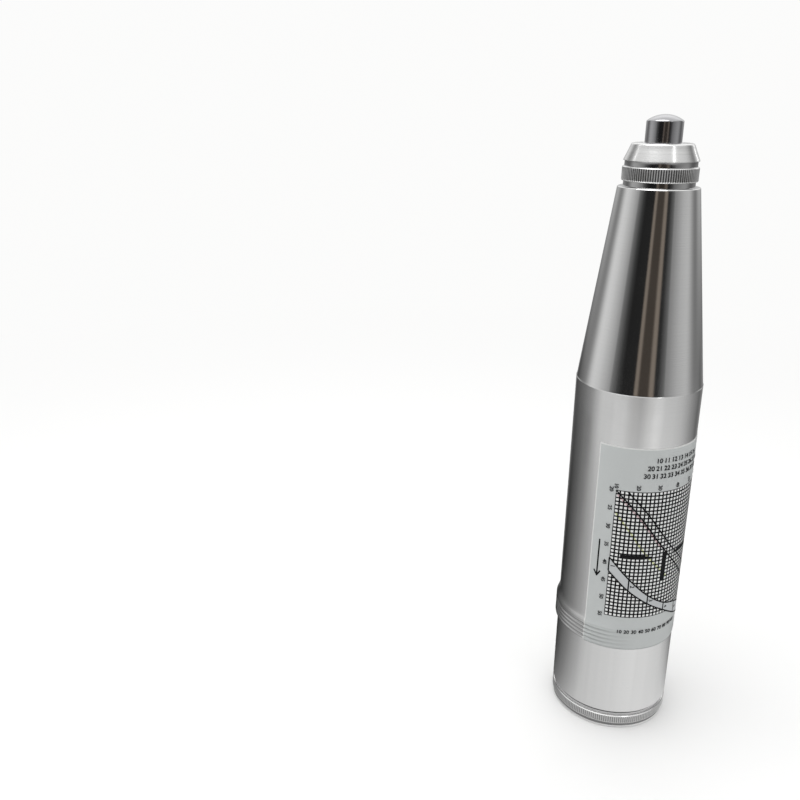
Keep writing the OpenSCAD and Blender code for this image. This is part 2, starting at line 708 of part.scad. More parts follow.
module pawl() color("darkgray") toward(pawl_angle, 0) difference() {
    translate([0, pawl_w / 2, 0]) rotate([90, 0, 0]) linear_extrude(height = pawl_w) polygon([
        [-pawl_tail_past, pawl_tail_z], [pawl_out_r, pawl_tail_z], [pawl_out_r, hook_z + hook_t],
        [pawl_in_r, hook_z + hook_t], [hook_tip_r, hook_z + hook_t * 2 / 3], [hook_tip_r, hook_z],
        [pawl_in_r, hook_z], [pawl_in_r, pawl_tail_z + pawl_tail_t],
        [-pawl_tail_past, pawl_tail_z + pawl_tail_t]]);
    translate([0, 0, pawl_pin_z]) pawl_cross(pawl_pin_d + 2 * slide_clear, over);
}

module guide_bar() color("silver") difference() {
    rod(bar_d, bar_z, bar_top_z);
    toward(button_angle, bar_pin_z) radial_rod(bar_pin_d + 2 * seat_clear, -bar_d, bar_d);
}

module bar_pin() color("gray") toward(button_angle, bar_pin_z)
    radial_rod(bar_pin_d, -disk_r / 2, disk_r / 2);

module hammer_mass() color("lightslategray") difference() {
    union() {
        rod(hook_flange_d, hook_flange_z, hook_groove_z);
        rod(hook_groove_d, hook_groove_z, hammer_z);
        rod(hammer_d, hammer_z, hammer_front_z);
        rod(hammer_nose_d, hammer_front_z, hammer_nose_z);
    }
    rod(bar_d + 2 * slide_clear, hook_flange_z - over, hammer_nose_z + over);
    toward(scale_angle, hammer_z - over)
        radial_box(rider_groove_r, bore_r + over, rider_groove_w, hammer_l + 2 * over);
}

module impact_plunger() color("dimgray") difference() {
    dome_r = plunger_end_r - corner_in;
    ball_r = (dome_r * dome_r + dome_h * dome_h) / (2 * dome_h);
    union() {
        rod(plunger_d, plunger_z, cap_top_z);
        rod(plunger_end_d, cap_top_z, corner_z);
        translate([0, 0, corner_z]) cylinder(h = corner_h, r1 = plunger_end_r, r2 = dome_r);
        intersection() {
            translate([0, 0, tip_z - ball_r]) sphere(r = ball_r);
            rod(2 * dome_r, corner_z + corner_h, tip_z + over);
        }
    }
    rod(bar_d + 2 * seat_clear, plunger_z - over, plunger_bore_top_z);
}

barrel_housing();
chart_label();
rear_cap();
trip_screw();
trip_lock_nut();
front_cap();
felt_washer();
two_part_ring();
guide_sleeve();
scale_plate();
scale_window();
window_screws();
rider_rod();
button_bush();
button_spring();
compression_spring();
impact_spring();
guide_disk();
guide_bar();
bar_pin();
pawl_pin();
pawl_spring();
impact_plunger();
retaining_spring();
pawl();
hammer_mass();
rider_block();
rider_leaf();
push_button();
lock_pin();
lock_pin_clip();
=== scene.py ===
# %% [markdown]
# # Dressing a rebound hammer in Blender
# A rebound hammer tests concrete: a spring throws a steel mass at a plunger, and a rider shows
# how far the mass bounces back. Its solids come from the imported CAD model. This lesson gives
# them the finish that the eye sees: turned aluminium, fine knurls, a printed label, dark steel.
# Blender works in metres and the drawing is in millimetres, so MM turns one into the other.

import json
import math

import bpy
from mathutils import Matrix, Vector


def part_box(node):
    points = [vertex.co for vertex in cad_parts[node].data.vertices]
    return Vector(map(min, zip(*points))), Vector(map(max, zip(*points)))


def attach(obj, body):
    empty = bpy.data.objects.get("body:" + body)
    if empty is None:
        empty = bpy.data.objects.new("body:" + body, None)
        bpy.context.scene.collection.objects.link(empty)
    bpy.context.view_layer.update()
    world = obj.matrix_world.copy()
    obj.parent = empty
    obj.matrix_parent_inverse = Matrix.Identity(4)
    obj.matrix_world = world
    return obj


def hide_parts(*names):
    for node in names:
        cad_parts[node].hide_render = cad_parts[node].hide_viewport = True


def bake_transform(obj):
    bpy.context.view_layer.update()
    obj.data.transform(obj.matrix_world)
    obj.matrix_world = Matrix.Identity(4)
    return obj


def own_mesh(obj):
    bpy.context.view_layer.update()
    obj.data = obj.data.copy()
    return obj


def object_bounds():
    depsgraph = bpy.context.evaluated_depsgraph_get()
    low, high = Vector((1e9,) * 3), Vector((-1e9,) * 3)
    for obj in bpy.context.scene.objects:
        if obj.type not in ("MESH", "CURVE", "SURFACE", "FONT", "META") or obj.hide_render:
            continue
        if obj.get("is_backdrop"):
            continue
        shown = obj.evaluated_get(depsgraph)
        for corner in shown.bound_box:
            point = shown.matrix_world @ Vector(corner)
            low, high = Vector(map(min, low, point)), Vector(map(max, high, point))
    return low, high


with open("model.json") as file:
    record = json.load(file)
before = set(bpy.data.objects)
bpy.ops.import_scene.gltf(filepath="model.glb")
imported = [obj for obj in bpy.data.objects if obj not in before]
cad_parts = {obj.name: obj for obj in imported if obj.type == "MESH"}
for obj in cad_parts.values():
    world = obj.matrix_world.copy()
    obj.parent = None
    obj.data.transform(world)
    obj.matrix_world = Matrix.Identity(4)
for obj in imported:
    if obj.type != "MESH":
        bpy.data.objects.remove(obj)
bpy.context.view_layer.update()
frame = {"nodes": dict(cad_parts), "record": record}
cad_nodes = frame["nodes"]
MM = 0.001

# %% [markdown]
# The camera comes first, because every later choice is judged through it. The photograph was
# taken from above the plunger's height, looking down and to the left, so that the hammer stands
# at the right of the picture. A real lens is copied by its place, its three angles and its length.

# %% Camera
# Yaw, pitch and roll in degrees, then the place and the lens in millimetres
CAMERA_ANGLES = (-16.36, 19.315, 0.349)
CAMERA_PLACE = Vector((0, -373.1, 280.3))
LENS, SENSOR_W = 38.41, 36

yaw, pitch, roll = (math.radians(angle) for angle in CAMERA_ANGLES)
ahead = Vector((math.sin(yaw) * math.cos(pitch), math.cos(yaw) * math.cos(pitch), -math.sin(pitch)))
right = Vector((math.cos(yaw), -math.sin(yaw), 0))
above = right.cross(ahead)
side = right * math.cos(roll) + above * math.sin(roll)
upward = above * math.cos(roll) - right * math.sin(roll)
bpy.ops.object.select_all(action="DESELECT")
bpy.ops.object.camera_add()
camera = bpy.context.object
camera.name = "photo_camera"
turn = Matrix((side, upward, -ahead)).transposed().to_4x4()
camera.matrix_world = Matrix.Translation(CAMERA_PLACE * MM) @ turn
camera.data.lens = LENS
camera.data.sensor_width = SENSOR_W
camera.data.clip_start = 0.01
bpy.context.scene.camera = camera
print("camera lens", camera.data.lens, "at", [round(c, 4) for c in camera.location])

# %% [markdown]
# Almost every piece of this hammer was made on a lathe, so one helper does the lathe's work.
# A single vertex is extruded along the outline, point by point, and the outline is spun round
# the axis. Doubles at the seam are merged first, and then the normals are turned outwards.
# A screw modifier could do the same, but the spin leaves plain faces that can be edited further.

# %% Lathe helper


def let_go():
    """Back to object mode with nothing selected, because an operator acts on all that is."""
    if bpy.context.object and bpy.context.object.mode != "OBJECT":
        bpy.ops.object.mode_set(mode="OBJECT")
    bpy.ops.object.select_all(action="DESELECT")


def hold(piece):
    """Selects one piece alone and makes it the active one."""
    let_go()
    piece.select_set(True)
    bpy.context.view_layer.objects.active = piece


def fresh(name):
    """The piece that an operator has just added, under its own name."""
    piece = bpy.context.object
    piece.name = piece.data.name = name
    return piece


def edit(piece):
    """Opens a piece in edit mode, with all of its mesh selected."""
    hold(piece)
    bpy.ops.object.mode_set(mode="EDIT")
    bpy.ops.mesh.select_all(action="SELECT")


def turn_faces_out():
    """Points all faces outwards, in edit mode."""
    bpy.ops.mesh.select_all(action="SELECT")
    bpy.ops.mesh.normals_make_consistent(inside=False)


def draw_chain(name, points):
    """A chain of vertices through points in millimetres, drawn with the extrude tool."""
    let_go()
    bpy.ops.mesh.primitive_plane_add(size=MM)
    piece = fresh(name)
    edit(piece)
    bpy.ops.mesh.merge(type="CENTER")
    places = [Vector(p) * MM for p in points]
    bpy.ops.transform.translate(value=places[0])
    for here, there in zip(places, places[1:]):
        bpy.ops.mesh.extrude_vertices_move(TRANSFORM_OT_translate={"value": there - here})
    return piece


def shade(piece, degrees=30):
    """Smooth shading that leaves turned edges crisp."""
    hold(piece)
    bpy.ops.object.shade_smooth_by_angle(angle=math.radians(degrees))


def turn_on_lathe(name, outline, steps):
    """Spins an outline of (radius, height) points round the Z axis."""
    piece = draw_chain(name, [(r, 0, z) for r, z in outline])
    bpy.ops.mesh.select_all(action="SELECT")
    bpy.ops.mesh.spin(steps=steps, angle=2 * math.pi, center=(0, 0, 0), axis=(0, 0, 1))
    bpy.ops.mesh.select_all(action="SELECT")
    bpy.ops.mesh.remove_doubles(threshold=MM / 1000)
    turn_faces_out()
    shade(piece)
    print(name, "faces:", len(piece.data.polygons))
    return piece


def arc_points(centre, radius, first, last, count):
    """Points of (radius, height) along a rounded corner, between two angles in degrees."""
    angles = [math.radians(first + (last - first) * i / count) for i in range(count + 1)]
    return [(centre[0] + radius * math.cos(a), centre[1] + radius * math.sin(a)) for a in angles]


# %% [markdown]
# The barrel and its cone are one turned tube. Near the rear end a grip band of five ridges was
# turned about an axis that lies a little off the barrel's own, so the ridges stand tall on one
# side and fade out on the other. A second spun ring and a union would leave slivers where the two
# surfaces graze each other, so the rows of the band are pushed out in code instead.

# %% Grip band sizes
BARREL_R = 27.0
BAND_Z, BAND_H, BAND_R = 44.5, 10.0, 27.8
BAND_OFFSET, BAND_TURN = 0.85, math.radians(135)
RIDGES, RIDGE_DEPTH, FLARE_L = 5, 0.55, 12.0
PITCH = BAND_H / RIDGES
FLARE_FOOT_R = BARREL_R - BAND_OFFSET
FLARE_ROWS = 10
BAND_EDGE_Z, BAND_TOP_Z = BAND_Z - 0.06, BAND_Z + BAND_H + FLARE_L
SKIN_IN = BARREL_R - 0.05

band_rows = []
for i in range(RIDGES):
    low = BAND_Z + i * PITCH
    root = BAND_R - RIDGE_DEPTH
    for share, rise in ((0, 0), (0.12, 0.42), (0.3, 0.82), (0.5, 1), (0.7, 0.82), (0.88, 0.42)):
        band_rows.append((low + PITCH * share, root + RIDGE_DEPTH * rise))
band_rows[-1] = (BAND_Z + BAND_H - PITCH * 0.1, BAND_R)
for i in range(FLARE_ROWS + 1):
    fall = 1 - i / FLARE_ROWS
    band_rows.append((BAND_Z + BAND_H + FLARE_L * i / FLARE_ROWS,
                      FLARE_FOOT_R + (BAND_R - FLARE_FOOT_R) * fall**3))


def band_reach(angle, radius):
    """How far a circle about the band's own axis reaches from the barrel's axis."""
    swing = angle - BAND_TURN
    return BAND_OFFSET * math.cos(swing) + math.sqrt(radius**2 - (BAND_OFFSET * math.sin(swing)) ** 2)


def skin_radius(angle, height):
    """Outside of the barrel at an angle from +X and a height, with the band where it stands out."""
    for (z0, r0), (z1, r1) in zip(band_rows, band_rows[1:]):
        if z0 <= height <= z1:
            share = (height - z0) / (z1 - z0)
            return max(BARREL_R, band_reach(angle, r0 + (r1 - r0) * share))
    return BARREL_R


print("rows in the grip band:", len(band_rows))

# %% Turn the barrel
BARREL_Z, SHOULDER_Z, CONE_TOP_Z, RING_Z, NOSE_Z = 8.9, 166.0, 248.0, 250.2, 257.0
CONE_TIP_R, NECK_R, THREAD_R, SLEEVE_R = 16.5, 14.3, 12.4, 10.03
SEAT_R, SEAT_Z, BORE_R = 23.5, 20.9, 22.0
LIP_R, LIP_Z = 26.79, SHOULDER_Z + 0.2
BARREL_STEPS = 360

barrel_outline = [(SEAT_R, BARREL_Z), (26.6, BARREL_Z), (26.83, 8.97), (26.95, 9.12)]
barrel_outline += [(BARREL_R, 9.4), (BARREL_R, 10.2)]
barrel_outline += [(BARREL_R, z) for z in (20, 32, 43.5, BAND_EDGE_Z)]
barrel_outline += [(BARREL_R, z) for z, r in band_rows]
barrel_outline += [(BARREL_R, z) for z in (67.5, 90, 115, 140, 160, 165.2, 165.75)]
barrel_outline += [(26.84, 165.98), (LIP_R, LIP_Z)]
cone_fall = (LIP_R - CONE_TIP_R) / (CONE_TOP_Z - LIP_Z)
barrel_outline += [(LIP_R - cone_fall * d, LIP_Z + d) for d in (0.6, 8, 20, 40, 60, 74, 80.6)]
barrel_outline += [(CONE_TIP_R + 0.03, 247.7), (CONE_TIP_R - 0.27, CONE_TOP_Z)]
barrel_outline += [(NECK_R + 0.2, CONE_TOP_Z), (NECK_R, CONE_TOP_Z + 0.2), (NECK_R, RING_Z)]
barrel_outline += [(THREAD_R, RING_Z), (THREAD_R, NOSE_Z - 0.4), (THREAD_R - 0.4, NOSE_Z)]
barrel_outline += [(SLEEVE_R, NOSE_Z), (SLEEVE_R, 243.8), (12.3, 243.8), (BORE_R, SHOULDER_Z)]
barrel_outline += [(BORE_R, SEAT_Z), (SEAT_R, SEAT_Z), (SEAT_R, BARREL_Z)]
barrel = turn_on_lathe("barrel_shell", barrel_outline, BARREL_STEPS)

pushed = 0
for vertex in barrel.data.vertices:
    x, y, z = vertex.co / MM
    reach = math.hypot(x, y)
    if reach > SKIN_IN and BAND_Z - 0.01 < z < BAND_TOP_Z + 0.01:
        grow = skin_radius(math.atan2(y, x), z) / reach
        vertex.co = Vector((x * grow, y * grow, z)) * MM
        pushed += 1
print("vertices of the grip band:", pushed)

# %% [markdown]
# Two openings go through the barrel's wall: the pocket and slot of the scale, and the round seat
# of the push-button. On the real barrel they are milled after turning, and a boolean with a
# plain cutter does the same here. The cutters are thrown away afterwards.

# %% Mill the openings
SCALE_TURN, BUTTON_TURN, LOCK_Z = math.radians(45), math.radians(135), 49.5
LAID_OVER = Matrix.Rotation(math.radians(90), 4, "Y")


def outward(turn, height, away=0):
    """Matrix that points local X away from the axis, at an angle, a height and a distance."""
    facing = Matrix.Translation((0, 0, height * MM)) @ Matrix.Rotation(turn, 4, "Z")
    return facing @ Matrix.Translation((away * MM, 0, 0))


def apply_place():
    """Moves the place, turn and scale of the held piece into its mesh."""
    bpy.ops.object.transform_apply(location=True, rotation=True, scale=True)


def block(name, turn, near, far, width, low, high):
    """A box that lies between two distances from the axis, made from a cube."""
    let_go()
    bpy.ops.mesh.primitive_cube_add(size=1)
    piece = fresh(name)
    piece.scale = ((far - near) * MM, width * MM, (high - low) * MM)
    apply_place()
    piece.matrix_world = outward(turn, (low + high) / 2, (near + far) / 2)
    apply_place()
    return piece


def peg(name, turn, height, near, far, radius):
    """A round cutter that points away from the axis."""
    let_go()
    bpy.ops.mesh.primitive_cylinder_add(vertices=64, radius=radius * MM, depth=(far - near) * MM)
    piece = fresh(name)
    piece.matrix_world = outward(turn, height, (near + far) / 2) @ LAID_OVER
    apply_place()
    return piece


def modify(piece, kind, **settings):
    """Adds a modifier with its settings and applies it at once."""
    hold(piece)
    bpy.ops.object.modifier_add(type=kind)
    modifier = piece.modifiers[-1]
    for key, value in settings.items():
        setattr(modifier, key, value)
    bpy.ops.object.modifier_apply(modifier=modifier.name)


def mill(piece, cutter):
    """Cuts one piece with another and throws the cutter away."""
    modify(piece, "BOOLEAN", operation="DIFFERENCE", solver="EXACT", object=cutter)
    bpy.data.objects.remove(cutter)


POCKET_IN, POCKET_W, POCKET_LOW, POCKET_HIGH = 23.88, 12.46, 44.37, 138.43
SLOT_W, SLOT_LOW, SLOT_HIGH = 3.2, 51.4, 131.4
mill(barrel, block("pocket_cutter", SCALE_TURN, POCKET_IN, 30, POCKET_W, POCKET_LOW, POCKET_HIGH))
mill(barrel, block("slot_cutter", SCALE_TURN, 20, 25, SLOT_W, SLOT_LOW, SLOT_HIGH))
mill(barrel, peg("seat_cutter", BUTTON_TURN, LOCK_Z, 23.2, 31, 5.21))
mill(barrel, peg("pin_cutter", BUTTON_TURN, LOCK_Z, 20, 24, 3.5))
shade(barrel)
print("barrel faces after milling:", len(barrel.data.polygons))

# %% [markdown]
# Inside the barrel two small lugs hold the rider's rod. They are blocks with broken edges, and
# they are joined to the barrel's mesh, because they never move apart from it.

# %% Rod lugs


def soften(piece, width, segments=2):
    """Breaks every edge of a piece with a bevel modifier."""
    modify(piece, "BEVEL", width=width * MM, segments=segments, limit_method="ANGLE")


def join(pieces):
    """Makes several pieces one, and returns it."""
    let_go()
    for piece in pieces:
        piece.select_set(True)
    bpy.context.view_layer.objects.active = pieces[0]
    bpy.ops.object.join()
    return pieces[0]


LUG_IN, LUG_OUT, LUG_W, LUG_H = 18.8, 22.6, 6.8, 4
HOLE_IN, HOLE_OUT, HOLE_W = 18.4, 20.84, 2.46
lugs = [block("rod_lug", SCALE_TURN, LUG_IN, LUG_OUT, LUG_W, low, low + LUG_H) for low in (43.0, 130.8)]
for lug in lugs:
    soften(lug, 0.3)
    mill(lug, block("rod_hole", SCALE_TURN, HOLE_IN, HOLE_OUT, HOLE_W, 40, 140))
barrel = join([barrel] + lugs)
shade(barrel)
print("barrel with lugs, faces:", len(barrel.data.polygons))

# %% [markdown]
# The grooves of the grip band are painted darker than its crests, and so are the narrow neck under
# the front cap and the barrel's foot: painted shade, where these places lie in shadow. The material
# can't know where a groove is, because the band lies off the axis, so each vertex carries that as a
# value of its own. The label's lower hem gets a painted shadow too, and the label will use the same
# helper.

# %% Painted groove shade as an attribute
BAND_SHADE, NECK_SHADE, FOOT_SHADE, HEM_SHADE = 0.8, 0.52, 0.6, 0.5


def mark_grooves(piece, skin):
    """Writes the painted shade of each vertex, from 0 to 1: the grooves, the neck, the foot and the hem.
    """
    groove = piece.data.attributes.new("painted_groove_shade", "FLOAT", "POINT")
    for vertex in piece.data.vertices:
        x, y, z = vertex.co / MM
        reach, angle = math.hypot(x, y), math.atan2(y, x)
        shade_amount = 0.0
        if reach > SKIN_IN and BAND_Z < z < BAND_Z + BAND_H:
            crest = max(BARREL_R, band_reach(angle, BAND_R)) + skin
            shade_amount = BAND_SHADE * min(1.0, max(0.0, (crest - reach) / RIDGE_DEPTH))
        elif reach < NECK_R + 0.25 and CONE_TOP_Z - 0.01 < z < RING_Z + 0.01:
            shade_amount = NECK_SHADE
        elif reach > BARREL_R - 0.7 and z < BARREL_Z + 0.4:
            shade_amount = FOOT_SHADE
        if skin and z < BAND_Z - 0.05:
            shade_amount = HEM_SHADE
        groove.data[vertex.index].value = shade_amount
    return sum(1 for row in groove.data if row.value > 0.5)


print("vertices in a groove:", mark_grooves(barrel, 0))

# %% [markdown]
# The two end caps have straight knurls so that a hand can unscrew them. A knurl is pressed by a
# wheel: every fourth column of the spun mesh is drawn in towards the axis, and its neighbours
# half as far, which leaves sharp teeth. Displacement in a material would vanish from the outline.

# %% Knurl helper


def pick_vertices(piece, wanted):
    """Selects the vertices whose place in millimetres passes a test, in edit mode."""
    hold(piece)
    bpy.ops.object.mode_set(mode="EDIT")
    bpy.ops.mesh.select_mode(type="VERT")
    bpy.ops.mesh.select_all(action="DESELECT")
    bpy.ops.object.mode_set(mode="OBJECT")
    for vertex in piece.data.vertices:
        vertex.select = wanted(vertex.co / MM)
    bpy.ops.object.mode_set(mode="EDIT")


COLUMNS_PER_TOOTH = 4


def press_knurl(piece, teeth, radius, low, high, depth):
    """Draws the groove columns of a straight knurl towards the axis."""
    steps = teeth * COLUMNS_PER_TOOTH

    def column(place):
        return round(math.atan2(place.y, place.x) / (2 * math.pi) * steps) % COLUMNS_PER_TOOTH

    for columns, share in (((2,), 1.0), ((1, 3), 0.5)):
        pick_vertices(piece, lambda p: low < p.z < high and p.xy.length > radius - 0.1
                      and column(p) in columns)
        shrink = 1 - depth * share / radius
        bpy.ops.transform.resize(value=(shrink, shrink, 1), center_override=(0, 0, 0))
    shade(piece)
    print(piece.name, "teeth:", teeth)


# %% Rear cap
REAR_TEETH, REAR_R = 170, 27.0
rear_outline = [(0, 0), (8, 0), (16, 0), (25.6, 0), (26.2, 0.2), (26.45, 0.55), (26.45, 1.0), (26.25, 1.3)]
rear_outline += [(26.25, 2.2), (26.6, 2.5), (REAR_R - 0.02, 2.75), (REAR_R, 2.85), (REAR_R, 3.05)]
rear_outline += [(REAR_R, 4.5), (REAR_R, 6.0), (REAR_R, 6.25), (REAR_R - 0.02, 6.35), (26.62, 6.7)]
rear_outline += [(26.2, 6.8), (26.0, 6.8), (26.0, 8.86)]
rear_outline += [(23.47, 8.86), (23.47, SEAT_Z - 0.5), (22.97, SEAT_Z)]
rear_outline += [(19.5, SEAT_Z), (19.5, 5), (6, 5), (6, 10.6), (5.6, 11)]
rear_outline += [(2.53, 11), (2.53, 2.5), (0, 2.5)]
rear_cap = turn_on_lathe("rear_cap_shell", rear_outline, REAR_TEETH * COLUMNS_PER_TOOTH)
press_knurl(rear_cap, REAR_TEETH, REAR_R, 2.95, 6.1, 0.28)

# %% Front cap
FRONT_TEETH, FRONT_R = 96, 15.2
RIM_C, RIM_R = (11.5, 263.9), 1.1
front_outline = [(12.43, RING_Z), (14.7, RING_Z), (15.0, 250.3), (15.14, 250.45)]
front_outline += [(FRONT_R, 250.58), (FRONT_R, 250.75), (FRONT_R, 253.1)]
front_outline += [(FRONT_R, 255.4), (FRONT_R, 255.58), (15.12, 255.74), (14.95, 255.92), (14.75, 256.0)]
front_outline += [(14.5, 256.0), (14.4, 256.1), (14.4, 258.05), (14.45, 258.2), (14.9, 258.2)]
front_outline += [(14.98, 258.26), (15.0, 258.38), (14.6, 259.35), (13.4, 262.1)]
front_outline += arc_points(RIM_C, RIM_R, 12, 90, 7)
front_outline += [(10, 265), (8.2, 265), (7.9, 264.7), (7.9, 263), (12.43, 263), (12.43, RING_Z)]
front_cap = turn_on_lathe("front_cap_shell", front_outline, FRONT_TEETH * COLUMNS_PER_TOOTH)
press_knurl(front_cap, FRONT_TEETH, FRONT_R, 250.65, 255.5, 0.35)

# %% [markdown]
# The plunger is a hardened steel rod with a bore for the guide bar. Only its end shows at rest,
# but it slides out by 75 mm, so all of it is turned. The end is turned down a little, has a narrow
# chamfer and closes in a shallow dome.

# %% Plunger
PLUNGER_Z, TIP_Z, DOME_R, DOME_H = 168.9, 276.0, 6.9, 2.2
BALL_R = (DOME_R**2 + DOME_H**2) / (2 * DOME_H)
dome_angle = math.degrees(math.asin(DOME_R / BALL_R))
plunger_outline = [(0, 232.9), (4.03, 231.2), (4.03, PLUNGER_Z), (7.1, PLUNGER_Z), (7.5, 169.3)]
plunger_outline += [(7.5, 200), (7.5, 240), (7.5, 264.8), (7.3, 265.0), (7.3, 268), (7.3, 273.2)]
plunger_outline += [(7.27, 273.38), (7.18, 273.52), (6.95, 273.75)]
plunger_outline += arc_points((0, TIP_Z - BALL_R), BALL_R, 90 - dome_angle * 0.97, 90, 10)
plunger_outline[-1] = (0, TIP_Z)
plunger = turn_on_lathe("plunger_rod", plunger_outline, 160)

# %% [markdown]
# The push-button locks the plunger. Its bush is a plain ring that is pressed into the barrel, and
# its head is dished for a fingertip. Both are turned about Z and then laid over, so that they
# point away from the barrel's axis.

# %% Push-button and bush


def lay_outward(piece, turn, height):
    """Turns a piece from Z to a direction away from the axis, with its place in its mesh."""
    hold(piece)
    piece.matrix_world = outward(turn, height) @ LAID_OVER
    apply_place()
    return piece


bush_outline = [(2.58, 23.2), (5.18, 23.2), (5.18, 28.25), (5.1, 28.45), (4.9, 28.62), (4.6, 28.65)]
bush_outline += [(4.3, 28.65), (4.14, 28.55), (4.08, 28.35), (4.08, 24.0), (2.58, 24.0), (2.58, 23.2)]
bush = lay_outward(turn_on_lathe("button_ring", bush_outline, 96), BUTTON_TURN, LOCK_Z)
head_outline = [(0, 27.15), (3.8, 27.15), (4.0, 27.35), (4.0, 30.2), (3.93, 30.5), (3.75, 30.68)]
head_outline += [(3.5, 30.74), (3.2, 30.7), (2.6, 30.6), (1.8, 30.5), (0.9, 30.45), (0, 30.44)]
button = lay_outward(turn_on_lathe("button_head", head_outline, 96), BUTTON_TURN, LOCK_Z)

# %% [markdown]
# The label is a printed film that is wrapped round the barrel and pressed over the ridges. It is
# drawn flat as a grid, and a helper wraps any flat drawing: x is the way round, y is the height
# and z is the lift off the skin. Everything printed on the label goes through the same helper.

# %% Wrap helper
LABEL_LOW, LABEL_HIGH = 44.0, 143.1
LABEL_LEFT, LABEL_RIGHT = -28.6, 107.0
LABEL_T, GLUE_T = 0.2, 0.02


def flat_x(azimuth):
    """Way round the label in millimetres, from the side that faces the camera."""
    return math.radians(azimuth) * (BARREL_R + LABEL_T)


def wrap(piece, lift):
    """Rolls a flat drawing in metres onto the barrel's skin."""
    for vertex in piece.data.vertices:
        x, y, z = vertex.co / MM
        angle = x / (BARREL_R + LABEL_T) - math.pi / 2
        reach = skin_radius(angle, y) + lift + z
        vertex.co = Vector((reach * math.cos(angle), reach * math.sin(angle), y)) * MM
    piece.data.update()
    return piece


def thicken(piece, thickness):
    """Gives a sheet a closed body on its outer side."""
    modify(piece, "SOLIDIFY", thickness=thickness * MM, offset=1)


def flat_grid(name, columns, rows, left, right, low, high):
    """A flat grid between two azimuths in degrees and two heights."""
    let_go()
    bpy.ops.mesh.primitive_grid_add(x_subdivisions=columns, y_subdivisions=rows, size=1)
    piece = fresh(name)
    edit(piece)
    wide, tall = flat_x(right) - flat_x(left), high - low
    bpy.ops.transform.resize(value=(wide * MM, tall * MM, 1))
    middle = ((flat_x(left) + flat_x(right)) / 2 * MM, (low + high) / 2 * MM, 0)
    bpy.ops.transform.translate(value=middle)
    let_go()
    return piece


# %% Label film
label_rows = [LABEL_LOW, BAND_EDGE_Z] + [z for z, r in band_rows] + [70, 85, 100, 115, 130, LABEL_HIGH]
label = flat_grid("label_sheet", 136, len(label_rows) - 1, LABEL_LEFT, LABEL_RIGHT, LABEL_LOW, LABEL_HIGH)
even_step = (LABEL_HIGH - LABEL_LOW) / (len(label_rows) - 1)
for vertex in label.data.vertices:
    vertex.co.y = label_rows[round((vertex.co.y / MM - LABEL_LOW) / even_step)] * MM
label_uv = label.data.uv_layers.active.data
for loop in label.data.loops:
    place = label.data.vertices[loop.vertex_index].co / MM
    across = (place.x - flat_x(LABEL_LEFT)) / (flat_x(LABEL_RIGHT) - flat_x(LABEL_LEFT))
    label_uv[loop.index].uv = (across, (place.y - LABEL_LOW) / (LABEL_HIGH - LABEL_LOW))
wrap(label, GLUE_T)
thicken(label, LABEL_T - GLUE_T)
shade(label, 40)
print("label faces:", len(label.data.polygons), "vertices in a groove:", mark_grooves(label, LABEL_T))

# %% [markdown]
# The chart is printed in black on white cells. Its mesh of lines starts as a grid: every face is
# inset by half a line's width and its middle is deleted, which leaves the lines. A texture could
# paint them, but real faces stay sharp when someone looks closely. Each layer of ink has its own
# lift above the film, so that no two layers lie in the same place.

# %% Chart cells and lines
CHART_LEFT, CHART_RIGHT, CHART_LOW, CHART_HIGH = -9.8, 88.2, 61.0, 123.2
CHART_COLUMNS, CHART_ROWS, LINE_W = 25, 35, 0.66
INK_T = 0.02
LIFT = {"cells": 0.01, "arrows": 0.03, "tints": 0.032, "lines": 0.05}
LIFT.update({"band": 0.09, "curves": 0.13, "numbers": 0.15})

cells = flat_grid("chart_cells", CHART_COLUMNS * 2, 1, CHART_LEFT, CHART_RIGHT, CHART_LOW, CHART_HIGH)
wrap(cells, LABEL_T + LIFT["cells"])
thicken(cells, INK_T)
lines = flat_grid("chart_lines", CHART_COLUMNS, CHART_ROWS, CHART_LEFT, CHART_RIGHT, CHART_LOW, CHART_HIGH)
edit(lines)
bpy.ops.mesh.inset(thickness=LINE_W / 2 * MM, use_individual=True)
bpy.ops.mesh.delete(type="FACE")
let_go()
wrap(lines, LABEL_T + LIFT["lines"])
thicken(lines, INK_T)
print("chart lines, faces:", len(lines.data.polygons))

# %% [markdown]
# Curves on the chart are ribbons. A chain of vertices follows the curve and is extruded sideways
# once, as with a broad pen that is held at one angle. The points are smoothed first, and they lie
# close together, so that the ribbon bends with the barrel.

# %% Pen helper
PEN_STEP = 1.5


def smooth_path(points):
    """Points in flat millimetres along a smooth curve through (azimuth, height) points."""
    knots = [Vector((flat_x(a), z, 0)) for a, z in points]
    knots = [2 * knots[0] - knots[1]] + knots + [2 * knots[-1] - knots[-2]]
    path = [knots[1]]
    for a, b, c, d in zip(knots, knots[1:], knots[2:], knots[3:]):
        count = max(1, math.ceil((c - b).length / PEN_STEP))
        for i in range(1, count + 1):
            t = i / count
            bend = (2 * a - 5 * b + 4 * c - d) * t**2 + (3 * b - a - 3 * c + d) * t**3
            path.append((2 * b + (c - a) * t + bend) / 2)
    return path


def pen(name, points, width):
    """A ribbon of ink along a curve, still flat."""
    path = smooth_path(points)
    along = (path[-1] - path[0]).normalized()
    across = Vector((-along.y, along.x, 0)) * width
    piece = draw_chain(name, [p - across / 2 for p in path])
    bpy.ops.mesh.select_all(action="SELECT")
    bpy.ops.mesh.extrude_region_move(TRANSFORM_OT_translate={"value": across * MM})
    turn_faces_out()
    let_go()
    return face_up(piece)


def face_up(piece):
    """Turns a flat drawing over if its faces look down."""
    if sum(face.normal.z * face.area for face in piece.data.polygons) < 0:
        piece.data.flip_normals()
    return piece


def print_on_label(pieces, lift):
    """Joins flat drawings, wraps them and gives the ink its body."""
    piece = join(pieces)
    wrap(piece, LABEL_T + lift)
    thicken(piece, INK_T)
    print(piece.name, "faces:", len(piece.data.polygons))
    return piece


